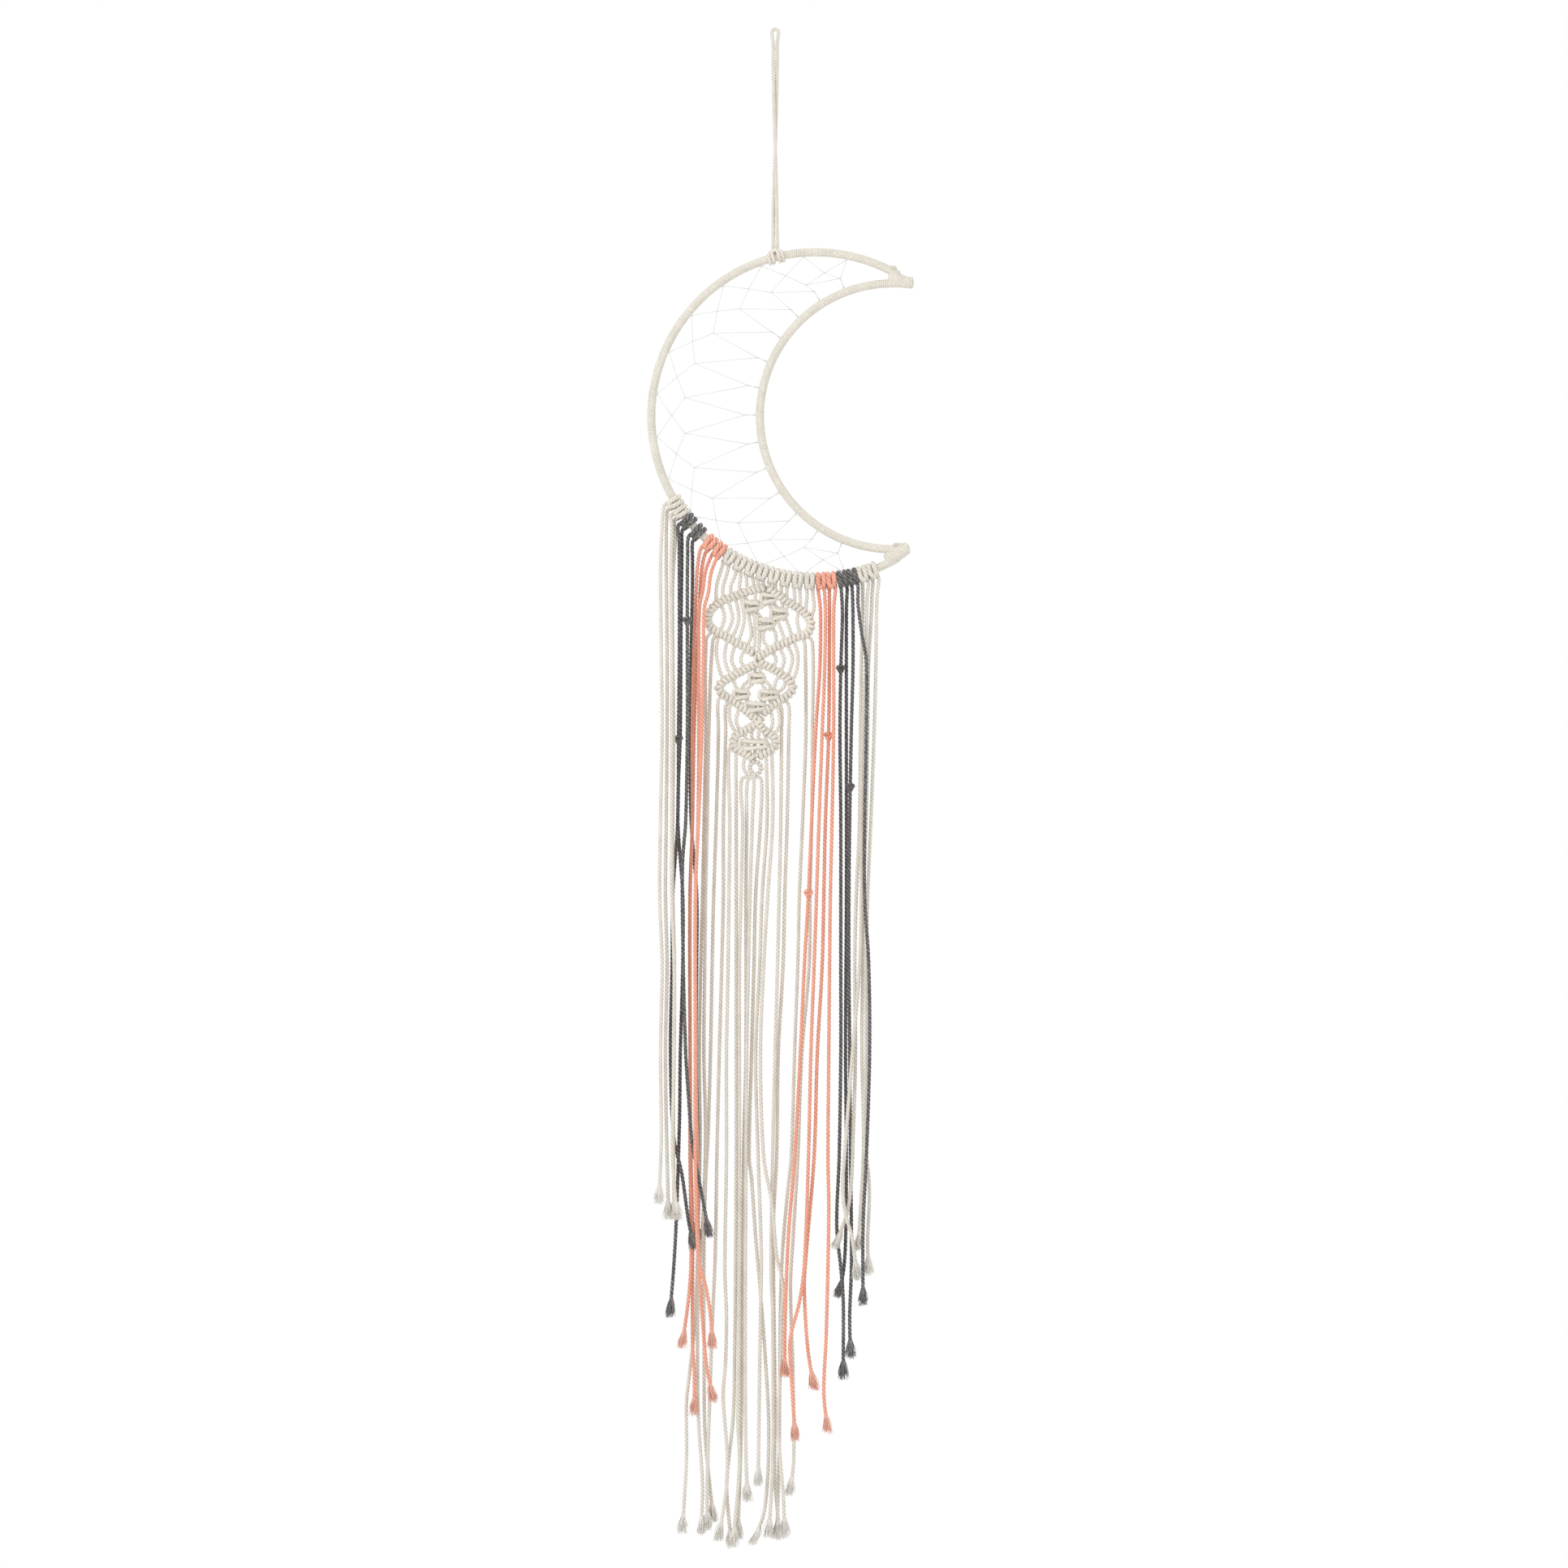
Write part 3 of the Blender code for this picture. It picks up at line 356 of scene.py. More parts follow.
def fibre_material(name, painted_light, painted_groove_shade, heather, roughness=0.85, fuzz=0.25, grain=900.0):
    """Cotton or thread: painted light on the top of each ply and painted shade between plies, flecked along
    its fibres.
    """
    material = bpy.data.materials.new(name)
    material.use_nodes = True
    tree = material.node_tree
    shader = tree.nodes["Principled BSDF"]
    shader.inputs["Roughness"].default_value = roughness
    shader.inputs["Sheen Weight"].default_value = fuzz
    shader.inputs["Sheen Roughness"].default_value = 0.5
    shader.inputs["Specular IOR Level"].default_value = 0.2
    place = tree.nodes.new("ShaderNodeTexCoord")
    # the painted light level: 1 paints the lit colour of a ply's top, 0 the painted shade between plies
    depth = tree.nodes.new("ShaderNodeAttribute")
    depth.attribute_name = "painted_light"
    fleck = add_node(material, "ShaderNodeTexNoise", (-700, 0), Scale=grain, Detail=3.0, Roughness=0.6)
    patch = add_node(material, "ShaderNodeTexNoise", (-700, -250), Scale=120.0, Detail=2.0)
    for noise in (fleck, patch):
        tree.links.new(place.outputs["Object"], noise.inputs["Vector"])
    # mix the painted shade colour into the painted light colour by that level
    shade = tree.nodes.new("ShaderNodeMix")
    shade.data_type = "RGBA"
    shade.inputs[6].default_value = (*painted_groove_shade, 1.0)
    shade.inputs[7].default_value = (*painted_light, 1.0)
    tree.links.new(depth.outputs["Fac"], shade.inputs[0])
    spread = add_node(material, "ShaderNodeMapRange", (-400, 0), From_Min=0.3, From_Max=0.7,
                      To_Min=1.0 - heather, To_Max=1.0 + heather)
    tree.links.new(fleck.outputs["Fac"], spread.inputs["Value"])
    slow = add_node(material, "ShaderNodeMapRange", (-400, -250), From_Min=0.3, From_Max=0.7,
                    To_Min=0.94, To_Max=1.05)
    tree.links.new(patch.outputs["Fac"], slow.inputs["Value"])
    both = tree.nodes.new("ShaderNodeMath")
    both.operation = "MULTIPLY"
    tree.links.new(spread.outputs["Result"], both.inputs[0])
    tree.links.new(slow.outputs["Result"], both.inputs[1])
    tint = tree.nodes.new("ShaderNodeVectorMath")
    tint.operation = "SCALE"
    tree.links.new(shade.outputs[2], tint.inputs[0])
    tree.links.new(both.outputs[0], tint.inputs["Scale"])
    tree.links.new(tint.outputs["Vector"], shader.inputs["Base Color"])
    bump = add_node(material, "ShaderNodeBump", (-200, -400), Strength=0.35, Distance=0.0002)
    tree.links.new(fleck.outputs["Fac"], bump.inputs["Height"])
    tree.links.new(bump.outputs["Normal"], shader.inputs["Normal"])
    return material


def wire_material():
    """The hoop's bare steel wire, inside its yarn."""
    material = bpy.data.materials.new("steel_wire")
    material.use_nodes = True
    shader = material.node_tree.nodes["Principled BSDF"]
    shader.inputs["Metallic"].default_value = 1.0
    shader.inputs["Roughness"].default_value = 0.35
    streak = add_node(material, "ShaderNodeTexNoise", (-500, 0), Scale=600.0, Detail=4.0)
    tone = add_node(material, "ShaderNodeValToRGB", (-300, 0))
    tone.color_ramp.elements[0].color = (0.35, 0.35, 0.36, 1.0)
    tone.color_ramp.elements[1].color = (0.6, 0.6, 0.62, 1.0)
    material.node_tree.links.new(streak.outputs["Fac"], tone.inputs["Fac"])
    material.node_tree.links.new(tone.outputs["Color"], shader.inputs["Base Color"])
    return material


# Each look's first colour is the painted light on a ply's top, its second the painted shade between plies.
MATERIALS = {
    "cream": fibre_material("cream_cotton", (0.80, 0.755, 0.68), (0.57, 0.52, 0.44), 0.07),
    "coral": fibre_material("coral_cotton", (0.91, 0.45, 0.33), (0.68, 0.24, 0.15), 0.10),
    "grey": fibre_material("grey_cotton", (0.20, 0.193, 0.19), (0.03, 0.028, 0.029), 0.75),
    "yarn": fibre_material("cream_yarn", (0.76, 0.72, 0.64), (0.47, 0.43, 0.36), 0.12),
    # the frayed looks are brighter copies of the cord looks: painted light in place of light through loose
    # fibres that shade each other
    "cream_fray": fibre_material("cream_cotton_frayed_painted_light", (0.93, 0.90, 0.84), (0.74, 0.70, 0.63), 0.05),
    "coral_fray": fibre_material("coral_cotton_frayed_painted_light", (0.97, 0.58, 0.46), (0.85, 0.40, 0.29), 0.08),
    "grey_fray": fibre_material("grey_cotton_frayed_painted_light", (0.27, 0.26, 0.25), (0.06, 0.055, 0.055), 0.6),
    "thread": fibre_material("net_thread", (0.74, 0.74, 0.73), (0.6, 0.6, 0.6), 0.05, 0.55, 0.0),
}


# Geometry

def polar(centre, radius, degrees, depth=0.0):
    """A point on a circle in the hoop's plane."""
    angle = math.radians(degrees)
    return np.array([centre[0] + radius * math.cos(angle), depth, centre[1] + radius * math.sin(angle)])


def distances_along(points):
    """How far along a line of points each of them is."""
    return np.r_[0.0, np.cumsum(np.linalg.norm(np.diff(points, axis=0), axis=1))]


def eased(amount, share):
    """An amount that comes in smoothly as the share goes from 0 to 1."""
    return amount * share * share * (3 - 2 * share)


def smooth_route(points, spacing):
    """Points along a smooth curve through the route's own points, and the length of its straight runs."""
    points = np.asarray(points, float)
    lengths = distances_along(points)
    last = len(points) - 1
    before = np.maximum(np.arange(last + 1) - 1, 0)
    after = np.minimum(np.arange(last + 1) + 1, last)
    slopes = (points[after] - points[before]) / (lengths[after] - lengths[before])[:, None]
    count = max(int(round(lengths[-1] / spacing)), 2)
    distance = np.linspace(0, lengths[-1], count + 1)
    index = np.clip(np.searchsorted(lengths, distance, side="right") - 1, 0, last - 1)
    span = lengths[index + 1] - lengths[index]
    t = ((distance - lengths[index]) / span)[:, None]
    span = span[:, None]
    route = (points[index] * (2 * t**3 - 3 * t**2 + 1) + slopes[index] * span * (t**3 - 2 * t**2 + t)
             + points[index + 1] * (3 * t**2 - 2 * t**3) + slopes[index + 1] * span * (t**3 - t**2))
    return route, lengths[-1]


def cross_axes(path):
    """Two directions across a path at each of its points, turning with it without twist."""
    along = np.gradient(path, axis=0)
    along /= np.linalg.norm(along, axis=1)[:, None]
    first = np.array([1.0, 0.0, 0.0]) if abs(along[0][0]) < 0.8 else np.array([0.0, 0.0, 1.0])
    sides = np.empty_like(path)
    side = first
    for index, direction in enumerate(along):
        side = side - direction * side.dot(direction)
        side = side / np.linalg.norm(side)
        sides[index] = side
    return sides, np.cross(along, sides)


def tube_part(path, radius, angles, shape):
    """A closed tube: shape is the share of the radius at each ring and angle, kept as its painted light
    level.
    """
    sides, ups = cross_axes(path)
    rings, around = shape.shape
    reach = (np.asarray(radius, float).reshape(-1, 1) * shape)[..., None]
    ring = sides[:, None] * np.cos(angles)[..., None] + ups[:, None] * np.sin(angles)[..., None]
    vertices = (path[:, None] + ring * reach).reshape(-1, 3)
    low = np.arange(rings - 1)[:, None] * around + np.arange(around)
    after = np.arange(rings - 1)[:, None] * around + (np.arange(around) + 1) % around
    faces = np.stack([low, after, after + around, low + around], -1).reshape(-1, 4).tolist()
    faces.append(list(range(around))[::-1])
    faces.append([(rings - 1) * around + side for side in range(around)])
    return vertices, faces, shape.reshape(-1)


def rope_part(path, diameter, lay=LAY, around=12, start=0.0, plies=PLIES, taper=0.0):
    """A twisted cord along a path of evenly spaced points."""
    rings = len(path)
    distance = distances_along(path)
    spokes = np.arange(around) * 2 * math.pi / around
    turns = start - 2 * math.pi * distance / lay
    angles = spokes[None, :] + turns[:, None]
    lobes = np.abs(np.cos(spokes * plies / 2)) ** 0.8
    shape = np.repeat((0.68 + 0.32 * lobes)[None, :], rings, axis=0)
    radius = np.full(rings, diameter / 2)
    if taper:
        ends = np.minimum(distance, distance[-1] - distance)
        radius = radius * np.clip(0.35 + 0.65 * ends / taper, 0, 1)
    vertices, faces, _ = tube_part(path, radius, angles, shape)
    # the lobes are the painted light level: painted light on each ply's top, painted shade in the grooves
    # between plies
    return vertices, faces, np.repeat(lobes[None, :], rings, axis=0).reshape(-1)


def plain_tube_part(path, radius, around, height):
    """A closed round tube with the same painted light level all over."""
    spokes = np.arange(around) * 2 * math.pi / around
    angles = np.repeat(spokes[None, :], len(path), axis=0)
    vertices, faces, painted_light = tube_part(path, radius, angles, np.ones((len(path), around)))
    return vertices, faces, painted_light * height


def winding_part(path, radius, pitch=YARN_PITCH, around=16, flatten=1.0, depth=0.22):
    """Yarn wound round a core that follows a path: rounded ridges that climb as they go round, with painted
    shade between the ridges.
    """
    rings = len(path)
    distance = distances_along(path)
    spokes = np.arange(around) * 2 * math.pi / around
    phase = (distance[:, None] / pitch + spokes[None, :] / (2 * math.pi)) % 1.0
    ridge = np.sqrt(np.clip(1.0 - (2 * phase - 1) ** 2, 0, 1))
    radius = np.broadcast_to(np.asarray(radius, float), (rings,))
    shape = 1.0 - depth / radius[:, None] * (1 - ridge)
    angles = np.repeat(spokes[None, :], rings, axis=0)
    vertices, faces, _ = tube_part(path, radius, angles, shape)
    if flatten != 1.0:
        vertices[:, 1] *= flatten
    # the ridges are the painted light level: painted shade in the hollows between turns of yarn
    return vertices, faces, ridge.reshape(-1)


def make_piece(name, parts, look):
    """One mesh object of several closed parts, with the painted light level of each point for its material:
    painted light on tops, painted shade in hollows.
    """
    vertices = np.concatenate([part[0] for part in parts]) * MM
    faces = []
    offset = 0
    for part in parts:
        faces += [[corner + offset for corner in face] for face in part[1]]
        offset += len(part[0])
    mesh = bpy.data.meshes.new(name)
    mesh.from_pydata(vertices.tolist(), [], faces)
    mesh.attributes.new("painted_light", "FLOAT", "POINT").data.foreach_set(
        "value", np.concatenate([part[2] for part in parts]).astype(np.float32))
    mesh.shade_smooth()
    mesh.materials.append(MATERIALS[look])
    piece = bpy.data.objects.new(name, mesh)
    bpy.context.collection.objects.link(piece)
    return piece


# The fringe

def exit_point(angles, number, radius):
    """Where a cord leaves its lark's head, at a distance from the hoop's centre: two cords to each."""
    offset = -1.0 if number % 2 == 0 else 1.0
    return polar(OUTER_CENTRE, radius, angles[number // 2] + offset)[[0, 2]]


def bar_line(bar):
    """Close points along a hitched bar of the panel."""
    return smooth_route(bar, 0.5)[0]


def fringe_path(name):
    """A hanging cord's line in 3-D, from its exit to its tip."""
    first_depth, layer, route = ROUTES[name]
    group, _, number = name.rpartition("_")
    if group in LARKS_HEADS:
        angles = LARKS_HEADS[group][1]
        inside = exit_point(angles, int(number) - 1, OUTER_RADIUS + KNOT_RADIUS - EXIT_DEPTH)
        outside = exit_point(angles, int(number) - 1, OUTER_RADIUS + KNOT_RADIUS + EXIT_GAP)
        below = 0.55 * outside + 0.45 * np.array(route[0])
        below[0] += 0.42 * (route[0][0] - below[0])
        route = [tuple(inside), tuple(outside), tuple(below)] + route
    else:
        bars = np.array([point for _, bar in HITCHED_BARS for point in bar_line(bar)])
        near = bars[np.argmin(np.linalg.norm(bars - np.array(route[0]), axis=1))]
        if np.linalg.norm(near - np.array(route[0])) > 1.5:
            route = [tuple(near)] + route
    flat, length = smooth_route(route, SPACING)
    distance = np.linspace(0, length, len(flat))
    depth = first_depth + eased(layer - first_depth, np.clip(distance / SETTLE, 0, 1))
    if group not in LARKS_HEADS:
        depth = eased(depth, np.clip(distance / TAIL_EASE, 0, 1))
    return np.column_stack([flat[:, 0], depth, flat[:, 1]])


def fray_parts(tip, direction, dice):
    """The untwisted end of a cord: loose plies that spread into many fine fibres."""
    parts = []
    t = np.linspace(0, 1, len(FIBRE_RADII))[:, None]
    for _ in range(FIBRES):
        turn = dice.uniform(0, 2 * math.pi)
        out = np.array([math.cos(turn), math.sin(turn), 0.0])
        reach = math.sqrt(dice.uniform(0, 1))
        length = FRAY * dice.uniform(0.7, 1.12)
        spread = reach * dice.uniform(1.2, 3.3)
        curl = np.array([dice.normal(0, 0.5), dice.normal(0, 0.5), 0.0])
        root = tip - direction * 1.6 + out * reach * CORD * 0.36
        path = root + direction * length * t + out * spread * t**1.4 + curl * np.sin(t * 3.0)
        # each fibre gets a random painted light level between the frayed look's two colours
        parts.append(plain_tube_part(path, FIBRE_RADII, 3, dice.uniform(0.45, 1.0)))
    return parts


def overhand_part(centre, size=0.72, diameter=2.1):
    """A small overhand knot pulled tight round its own cord."""
    t = np.linspace(0, 2 * math.pi, 60)
    path = np.column_stack([np.sin(t) + 2 * np.sin(2 * t), -1.4 * np.sin(3 * t),
                            np.cos(t) - 2 * np.cos(2 * t)])
    return rope_part(centre + path * size, diameter, around=8)


def make_fringe():
    """The 40 hanging cords with their frayed ends and their small knots."""
    dice = np.random.default_rng(7)
    for name in ROUTES:
        group, _, _ = name.rpartition("_")
        look = LARKS_HEADS[group][0] if group in LARKS_HEADS else "cream"
        body = group + "_cords" if group in LARKS_HEADS else "panel"
        path = fringe_path(name)
        cut = len(path) - int((FRAY - 1.5) / SPACING)
        solid = path[:cut]
        piece = make_piece(name + "_cord", [rope_part(solid, CORD, start=dice.uniform(0, 6))], look)
        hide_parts(name)
        direction = path[-1] - path[-6]
        direction = direction / np.linalg.norm(direction)
        # the frayed end takes the brighter frayed look, painted light
        fray = make_piece(name + "_fray", fray_parts(solid[-1], direction, dice), look + "_fray")
        on_cord = [fray]
        if name in OVERHAND_KNOTS:
            near = np.argmin(np.abs(solid[:, 2] - OVERHAND_KNOTS[name]))
            on_cord.append(make_piece(name + "_overhand_knot", [overhand_part(solid[near])], look))
        for extra in on_cord:
            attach(extra, body)
        if group in LARKS_HEADS:
            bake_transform(piece)
        else:
            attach(piece, body)


# Knots

def larks_head_part(angle, half, diameter, core, spread=1.0, tail=5.4):
    """A doubled cord hitched over the hoop at an angle of the outer arc."""
    out = polar((0, 0), 1.0, angle)
    side = np.array([-out[2], 0, out[0]])
    front = np.array([0, -1.0, 0])
    middle = polar(OUTER_CENTRE, OUTER_RADIUS, angle)
    wrap = core + diameter * SQUASH
    route = [(spread, tail, 0.0), (spread, 0.75 * wrap, -0.7 * wrap), (1.0, 0.0, -wrap),
             (1.0, -0.72 * wrap, -0.72 * wrap), (1.0, -wrap, 0.0), (1.0, -0.72 * wrap, 0.72 * wrap),
             (0.98, 0.1 * wrap, 1.03 * wrap), (0.9, 0.72 * wrap, 0.95 * wrap),
             (0.45, 1.12 * wrap, 0.85 * wrap)]
    local = [(-a * half, b, c) for a, b, c in route] + [(0.0, 1.2 * wrap, 0.85 * wrap)]
    local += [(a * half, b, c) for a, b, c in reversed(route)]
    points = [middle + side * a + out * b + front * c for a, b, c in local]
    path, _ = smooth_route(points, 0.8)
    return rope_part(path, diameter, around=10)


def make_larks_heads():
    """The twenty lark's heads of the fringe and the one that holds the hoop."""
    for name, (look, angles) in LARKS_HEADS.items():
        parts = [larks_head_part(angle, 1.75, HITCHED, WRAPPED / 2) for angle in angles]
        piece = make_piece(name + "_larks_heads", parts, look)
        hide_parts(name + "_knots")
        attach(piece, "hoop")
    parts = [larks_head_part(HANGER_ANGLE, 2.0, LOOP_CORD, WRAPPED / 2, spread=0.4, tail=3.6),
             larks_head_part(HANGER_ANGLE, 4.2, LOOP_CORD, WRAPPED / 2, spread=0.9, tail=2.5)]
    piece = make_piece("hanger_larks_head", parts, "cream")
    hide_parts("hanger_knot")
    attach(piece, "hanger")


def make_loop():
    """The hanging loop: one cord up over the nail and down, its legs half twisted round each other."""
    half = 1.3  # between the loop's middle and each leg's
    top = -8.0
    split = -65.0
    bottom = -136.3
    bend_radius = 2.1
    bend_height = -0.9
    spacing = 0.7

    def leg(z, side):
        turn = math.pi * (z - top) / (bottom - top)
        return (-side * half * math.cos(turn), -side * half * math.sin(turn), z)

    bend = [(bend_radius * math.cos(a), 0.0, bend_height + bend_radius * math.sin(a))
            for a in np.linspace(math.pi, 0, 9)]
    left = [leg(z, 1) for z in np.linspace(split, top, 9)]
    right = [leg(z, -1) for z in np.linspace(top, split, 9)]
    upper, _ = smooth_route(left + bend + right, spacing)
    piece = make_piece("hanging_loop_upper", [rope_part(upper, LOOP_CORD, lay=LOOP_LAY)], "cream")
    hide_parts("hanging_loop_bight")
    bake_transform(piece)
    parts = []
    for side in (1, -1):
        path, _ = smooth_route([leg(z, side) for z in np.linspace(split + 0.6, bottom, 12)], spacing)
        parts.append(rope_part(path, LOOP_CORD, lay=LOOP_LAY))
    piece = make_piece("hanging_loop_lower", parts, "cream")
    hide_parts("hanging_loop_legs")
    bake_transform(piece)


def hitched_bar_parts(route, swell, depth, diameter, pitch):
    """Half hitches side by side along a bar: one cord wound tightly round another."""
    core, length = smooth_route([(x, 0.0, z) for x, z in route], 0.5)
    sides, _ = cross_axes(core)
    distance = np.linspace(0, length, len(core))
    fine = np.linspace(0, length, int(length * 5))
    middle = np.column_stack([np.interp(fine, distance, core[:, axis]) for axis in range(3)])
    side = np.column_stack([np.interp(fine, distance, sides[:, axis]) for axis in range(3)])
    side[:, 1] = 0.0
    turn = (2 * math.pi * fine / pitch)[:, None]
    coil = middle + side * np.cos(turn) * swell + np.array([0, 1.0, 0]) * np.sin(turn) * depth
    path, _ = smooth_route(coil, 0.8)
    return [rope_part(path, diameter, around=9, taper=1.5), rope_part(core, diameter, around=9, taper=2.0)]


def square_knot_parts(centre, wide, high):
    """A square knot: a cord laid to and fro across its cores, caught at both sides."""
    x, z = centre
    front = 2.9
    over = [(-wide, 0.6, -high), (-wide * 0.6, -front * 0.8, -high * 1.1), (wide * 0.2, -front, -high * 0.7),
            (wide * 0.8, -front * 0.6, -high * 0.55), (wide * 1.05, 0.3, 0.0),
            (wide * 0.8, -front * 0.6, high * 0.6), (-wide * 0.2, -front, high * 0.75),
            (-wide * 0.7, -front * 0.75, high * 1.05), (-wide, 0.6, high)]
    catch = [(-wide * 0.75, 0.6, -high * 1.3), (-wide * 1.1, -0.9, -high * 0.7),
             (-wide * 1.15, -1.1, high * 0.7), (-wide * 0.75, 0.6, high * 1.3)]
    parts = []
    # the third cord is the first one's mirror, flatter and further back
    for route, flip, relief, back in ((over, 1, 1.0, 0.0), (catch, 1, 1.0, 0.0), (over, -1, 0.55, 0.9)):
        points = [(x + a * flip, b * relief + back, z + c) for a, b, c in route]
        path, _ = smooth_route(points, 0.7)
        parts.append(rope_part(path, KNOT_CORD, around=9, taper=1.0))
    for offset in (-0.5, 0.0, 0.5):
        core = x + wide * offset
        ends = [(core, 0.8, z + high * 1.7), (core, 0.3, z), (core, 0.8, z - high * 1.7)]
        path, _ = smooth_route(ends, 0.8)
        parts.append(rope_part(path, CORD, around=9, taper=1.0))
    return parts


def make_panel():
    """The macrame panel: four diamonds of hitched bars with square knots and loose cords."""
    names = {"large": "panel_diamond_large", "medium": "panel_diamond_medium",
             "small": "panel_diamond_small", "end": "panel_end_knot"}
    parts = {name: [] for name in names}
    for name, route in HITCHED_BARS:
        swell, depth, diameter, pitch = END_HITCHES if name == "end" else HITCHES
        parts[name] += hitched_bar_parts(route, swell, depth, diameter, pitch)
    for name, centre, wide, high in SQUARE_KNOTS:
        parts[name] += square_knot_parts(centre, wide, high * KNOT_STRETCH)
    for index, (name, route) in enumerate(LOOSE_CORDS):
        path, _ = smooth_route([(x, 0.5 * (-1) ** index, z) for x, z in route], 0.8)
        parts[name].append(rope_part(path, CORD, around=12))
    for name, node in names.items():
        piece = make_piece(node + "_macrame", parts[name], "cream")
        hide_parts(node)
        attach(piece, "panel")

    leads = []
    for index, route in enumerate(PANEL_LEADS):
        start = exit_point(LARKS_HEADS["panel"][1], index, OUTER_RADIUS + 3.6)
        points = [(start[0], -0.6, start[1])] + [(x, 0.4, z) for x, z in route]
        path, _ = smooth_route(points, 0.8)
        leads.append(rope_part(path, CORD, around=12))
    piece = make_piece("panel_lead_cords", leads, "cream")
    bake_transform(piece)


# The hoop

def arc_path(centre, radius, start, end, spacing):
    """Points along an arc of the hoop."""
    count = int(abs(end - start) * math.pi / 180 * radius / spacing)
    return np.array([polar(centre, radius, degrees) for degrees in np.linspace(start, end, count)])


def make_hoop():
    """The yarn wound over both arcs, and the bindings on the tips."""
    spacing = YARN_PITCH / 5
    for name, centre, radius, start, end in (
            ("outer_wrap", OUTER_CENTRE, OUTER_RADIUS, 59.5, 300.5),
            ("inner_wrap", INNER_CENTRE, INNER_RADIUS, 87.5, 272.5)):
        path = arc_path(centre, radius, start, end, spacing)
        piece = make_piece(name + "_yarn", [winding_part(path, WRAPPED / 2)], "yarn")
        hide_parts(name)
        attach(piece, "hoop")

    tips = {
        "top_tip_binding": [(69.5, -152.2, 2.2), (71.5, -152.3, 4.4), (74.5, -153.0, 4.8), (78, -154.1, 4.0),
                            (82, -154.8, 3.65), (84.8, -155, 3.6), (85.5, -155, 1.2)],
        "bottom_tip_binding": [(67.5, -325.4, 2.2), (69.5, -324.6, 4.2), (72.5, -323.3, 4.7),
                               (76, -321.2, 4.6), (79.5, -319.2, 4.3), (81.8, -318.2, 3.6),
                               (82.8, -317.8, 1.2)],
    }
    for name, route in tips.items():
        path, length = smooth_route([(x, 0.0, z) for x, z, _ in route], 0.25)
        stations = distances_along([(x, z) for x, z, _ in route])
        radius = np.interp(np.linspace(0, length, len(path)), stations, [size for _, _, size in route])
        piece = make_piece(name + "_yarn", [winding_part(path, radius, around=24, flatten=0.82)], "yarn")
        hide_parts(name)
        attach(piece, "hoop")
    for name, place in (("top_tip_knot", (72.6, -1.2, -146.6)), ("bottom_tip_knot", (75, -1.2, -317.2))):
        knot = overhand_part(np.array(place), size=0.55, diameter=1.9)
        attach(make_piece(name, [knot], "yarn"), "hoop")
    wire = bpy.data.objects["crescent_wire"]
    wire.data.materials.clear()
    wire.data.materials.append(wire_material())


def thread_part(start, end):
    """A short straight thread."""
    return plain_tube_part(np.linspace(start, end, 3), THREAD / 2, 6, 1.0)


def net_knot_part(centre, size):
    """A tiny knot in the thread."""
    path = centre + np.linspace(-1, 1, 5)[:, None] * np.array([[0.6, 0.0, 0.8]]) * size
    # the knot is drawn at 0.6 of the painted light level: painted shade in the knot
    return plain_tube_part(path, size * np.array([0.35, 0.85, 1.0, 0.85, 0.35]), 8, 0.6)


def thread_ring_part(centre, radius, degrees):
    """The thread's turn round the wrapped hoop, where it is tied on."""
    sunk = 0.13  # into the yarn
    out = polar((0, 0), 1.0, degrees)
    turn = np.linspace(0, 2 * math.pi, 25)[:, None]
    circle = out * np.cos(turn) + np.array([0, 1.0, 0]) * np.sin(turn)
    path = polar(centre, radius, degrees) + circle * (WRAPPED / 2 - sunk)
    return plain_tube_part(path, 0.15, 6, 1.0)


def make_net():
    """The net: one thread knotted in rows of diamonds from the outer arc to the inner arc."""
    edge = WRAPPED / 2 + 0.1
    ties = [polar(OUTER_CENTRE, OUTER_RADIUS - edge, degrees) for degrees in OUTER_TIES]
    first = [polar(OUTER_CENTRE, FIRST_ROW_RADIUS, (a + b) / 2) for a, b in zip(OUTER_TIES, OUTER_TIES[1:])]
    second = [polar(OUTER_CENTRE, SECOND_ROW_RADIUS, degrees) for degrees in OUTER_TIES[1:-1]]
    inner = [polar(INNER_CENTRE, INNER_ROW_RADIUS, degrees) for degrees in INNER_ROW]
    threads = [(ties[0], inner[0]), (ties[-1], inner[-1]), (first[0], inner[0]), (first[-1], inner[-1])]
    for index, knot in enumerate(first):
        threads += [(ties[index], knot), (ties[index + 1], knot)]
    for index, knot in enumerate(second):
        threads += [(first[index], knot), (first[index + 1], knot)]
        threads += [(knot, inner[index]), (knot, inner[index + 1])]
    for degrees, knot in zip(INNER_ROW, inner):
        for offset in (-0.15, 0.15):
            threads.append((knot, polar(INNER_CENTRE, INNER_RADIUS + WRAPPED / 2, degrees + offset)))
    parts = [thread_part(start, end) for start, end in threads]
    parts += [net_knot_part(knot, NET_KNOT) for knot in first + second + inner]
    for degrees in OUTER_TIES:
        if not FRINGE_START < degrees < FRINGE_END:
            parts.append(thread_ring_part(OUTER_CENTRE, OUTER_RADIUS, degrees))
    parts += [thread_ring_part(INNER_CENTRE, INNER_RADIUS, degrees) for degrees in INNER_ROW]
    piece = make_piece("web_thread", parts, "thread")
    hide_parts("web_net")
    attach(piece, "hoop")


# The studio, in metres

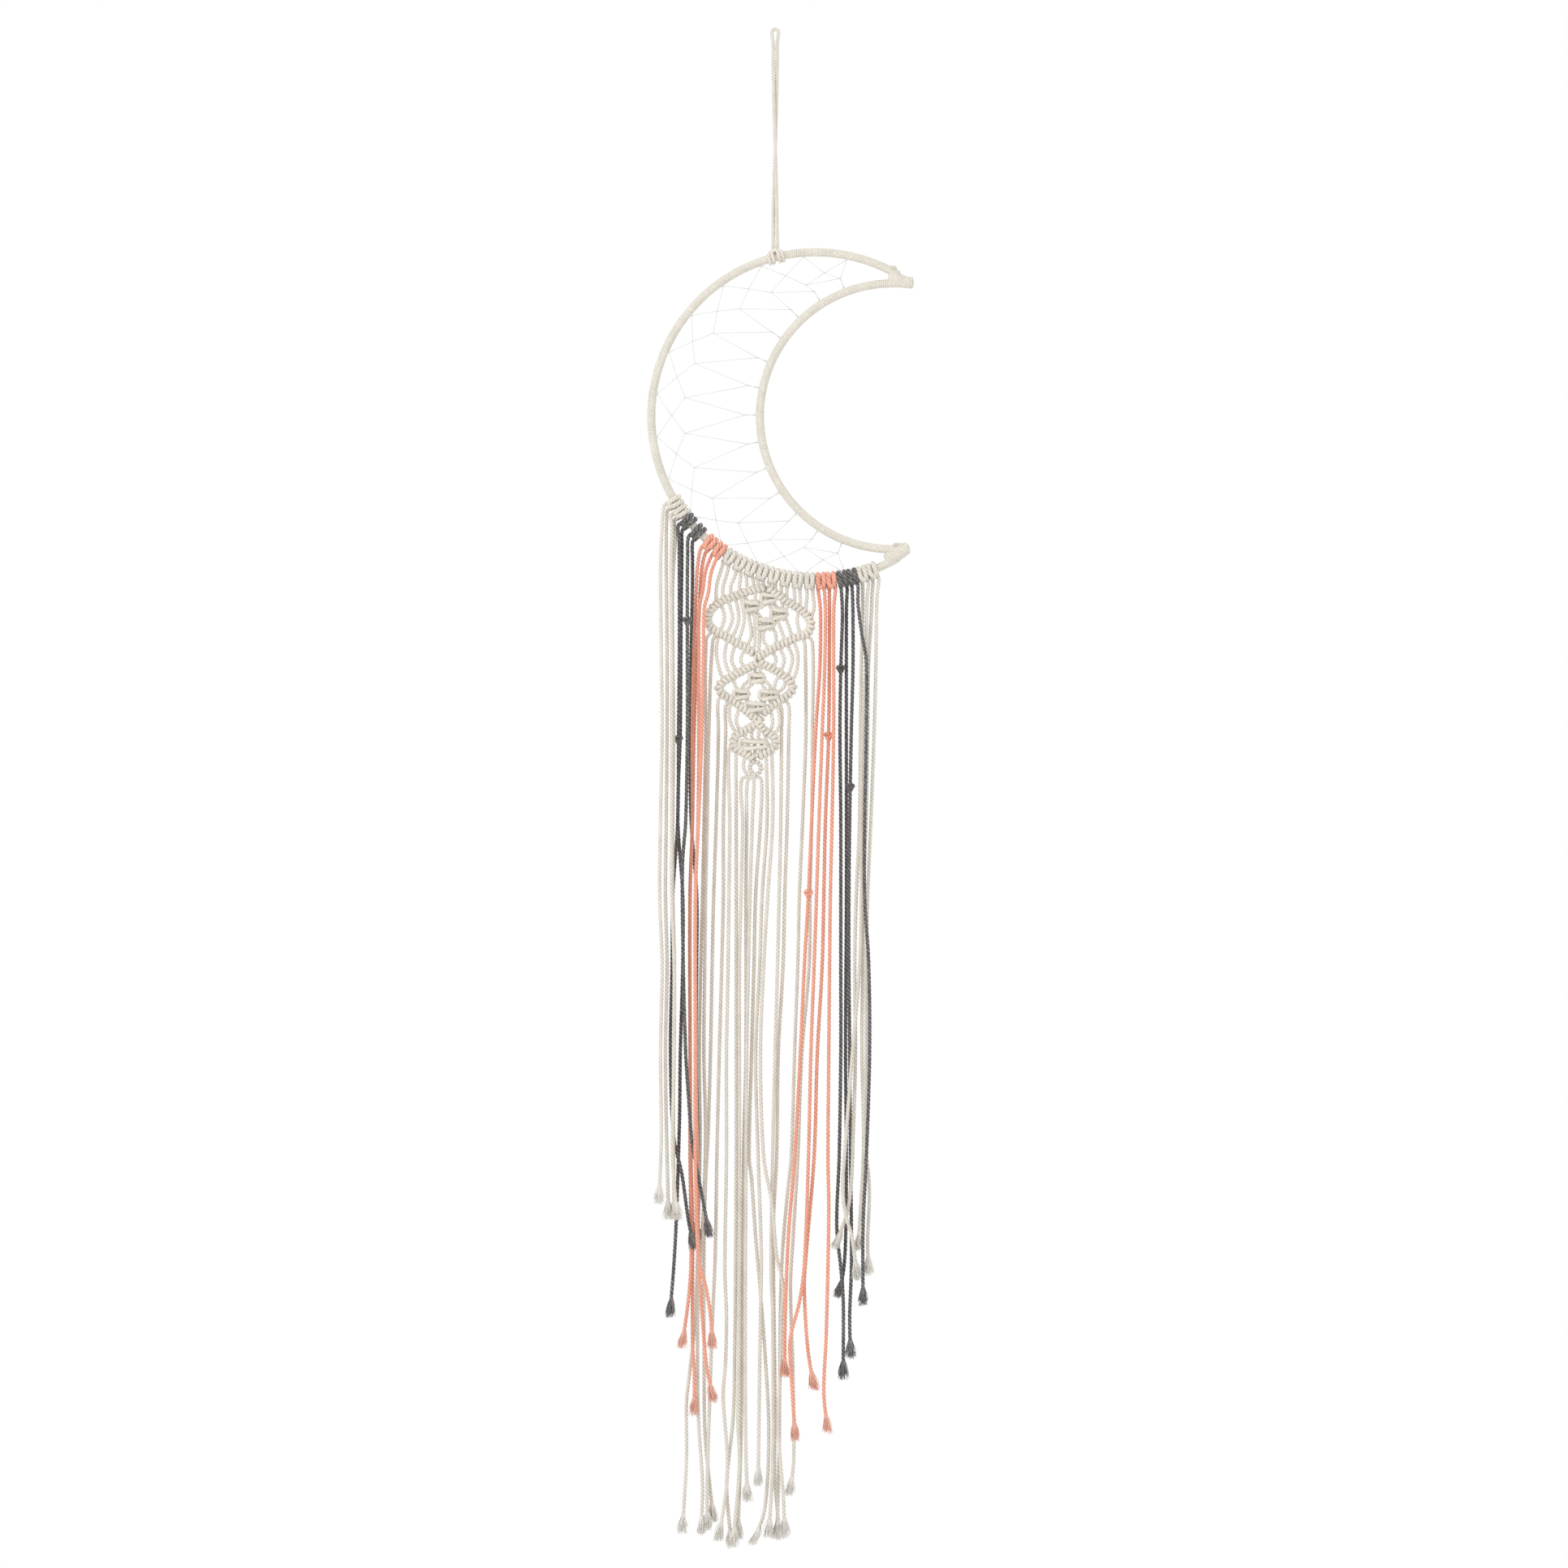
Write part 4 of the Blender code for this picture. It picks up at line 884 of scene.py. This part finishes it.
CAMERA_PLACE = (0.0055, -2.683, -0.46375)
LIT_MIDDLE = (0.005, 0.0, -0.46)
FLOOR_HEIGHT = -1.08
FLOOR_RADIUS = 0.5


def make_camera():
    """Straight on, at the height of the object's middle."""
    data = bpy.data.cameras.new("camera")
    data.lens = 100.0
    data.sensor_width = 36.0
    camera = bpy.data.objects.new("camera", data)
    camera.location = CAMERA_PLACE
    camera.rotation_euler = (math.pi / 2, 0, 0)
    bpy.context.collection.objects.link(camera)
    bpy.context.scene.camera = camera


def make_light(name, place, size, power):
    """A soft area light that faces the middle of the object."""
    data = bpy.data.lights.new(name, "AREA")
    data.size = size
    data.energy = power
    light = bpy.data.objects.new(name, data)
    light.location = place
    aim = np.array(LIT_MIDDLE) - np.array(place)
    tilt = math.pi / 2 - math.atan2(-aim[2], math.hypot(aim[0], aim[1]))
    light.rotation_euler = (tilt, 0, math.atan2(aim[1], aim[0]) - math.pi / 2)
    bpy.context.collection.objects.link(light)


def make_studio():
    """White surroundings, a key light from the upper left and a pale floor below the object."""
    world = bpy.data.worlds.new("studio")
    bpy.context.scene.world = world
    world.use_nodes = True
    sky = world.node_tree.nodes["Background"]
    sky.inputs["Color"].default_value = (1.0, 1.0, 1.0, 1.0)
    sky.inputs["Strength"].default_value = 1.0
    make_light("key", (-1.1, -1.5, 0.5), 0.7, 9.0)
    bpy.context.scene.view_settings.view_transform = "Standard"

    floor_mesh = bpy.data.meshes.new("floor")
    turn = np.linspace(0, 2 * math.pi, 64, endpoint=False)
    corners = [(FLOOR_RADIUS * math.cos(a), FLOOR_RADIUS * math.sin(a), FLOOR_HEIGHT) for a in turn]
    floor_mesh.from_pydata(corners, [], [list(range(len(turn)))])
    material = bpy.data.materials.new("floor")
    material.use_nodes = True
    material.node_tree.nodes["Principled BSDF"].inputs["Base Color"].default_value = (0.9, 0.9, 0.9, 1.0)
    floor_mesh.materials.append(material)
    floor = bpy.data.objects.new("floor", floor_mesh)
    bpy.context.collection.objects.link(floor)


make_camera()
make_fringe()
make_larks_heads()
make_loop()
make_panel()
make_hoop()
make_net()
make_studio()
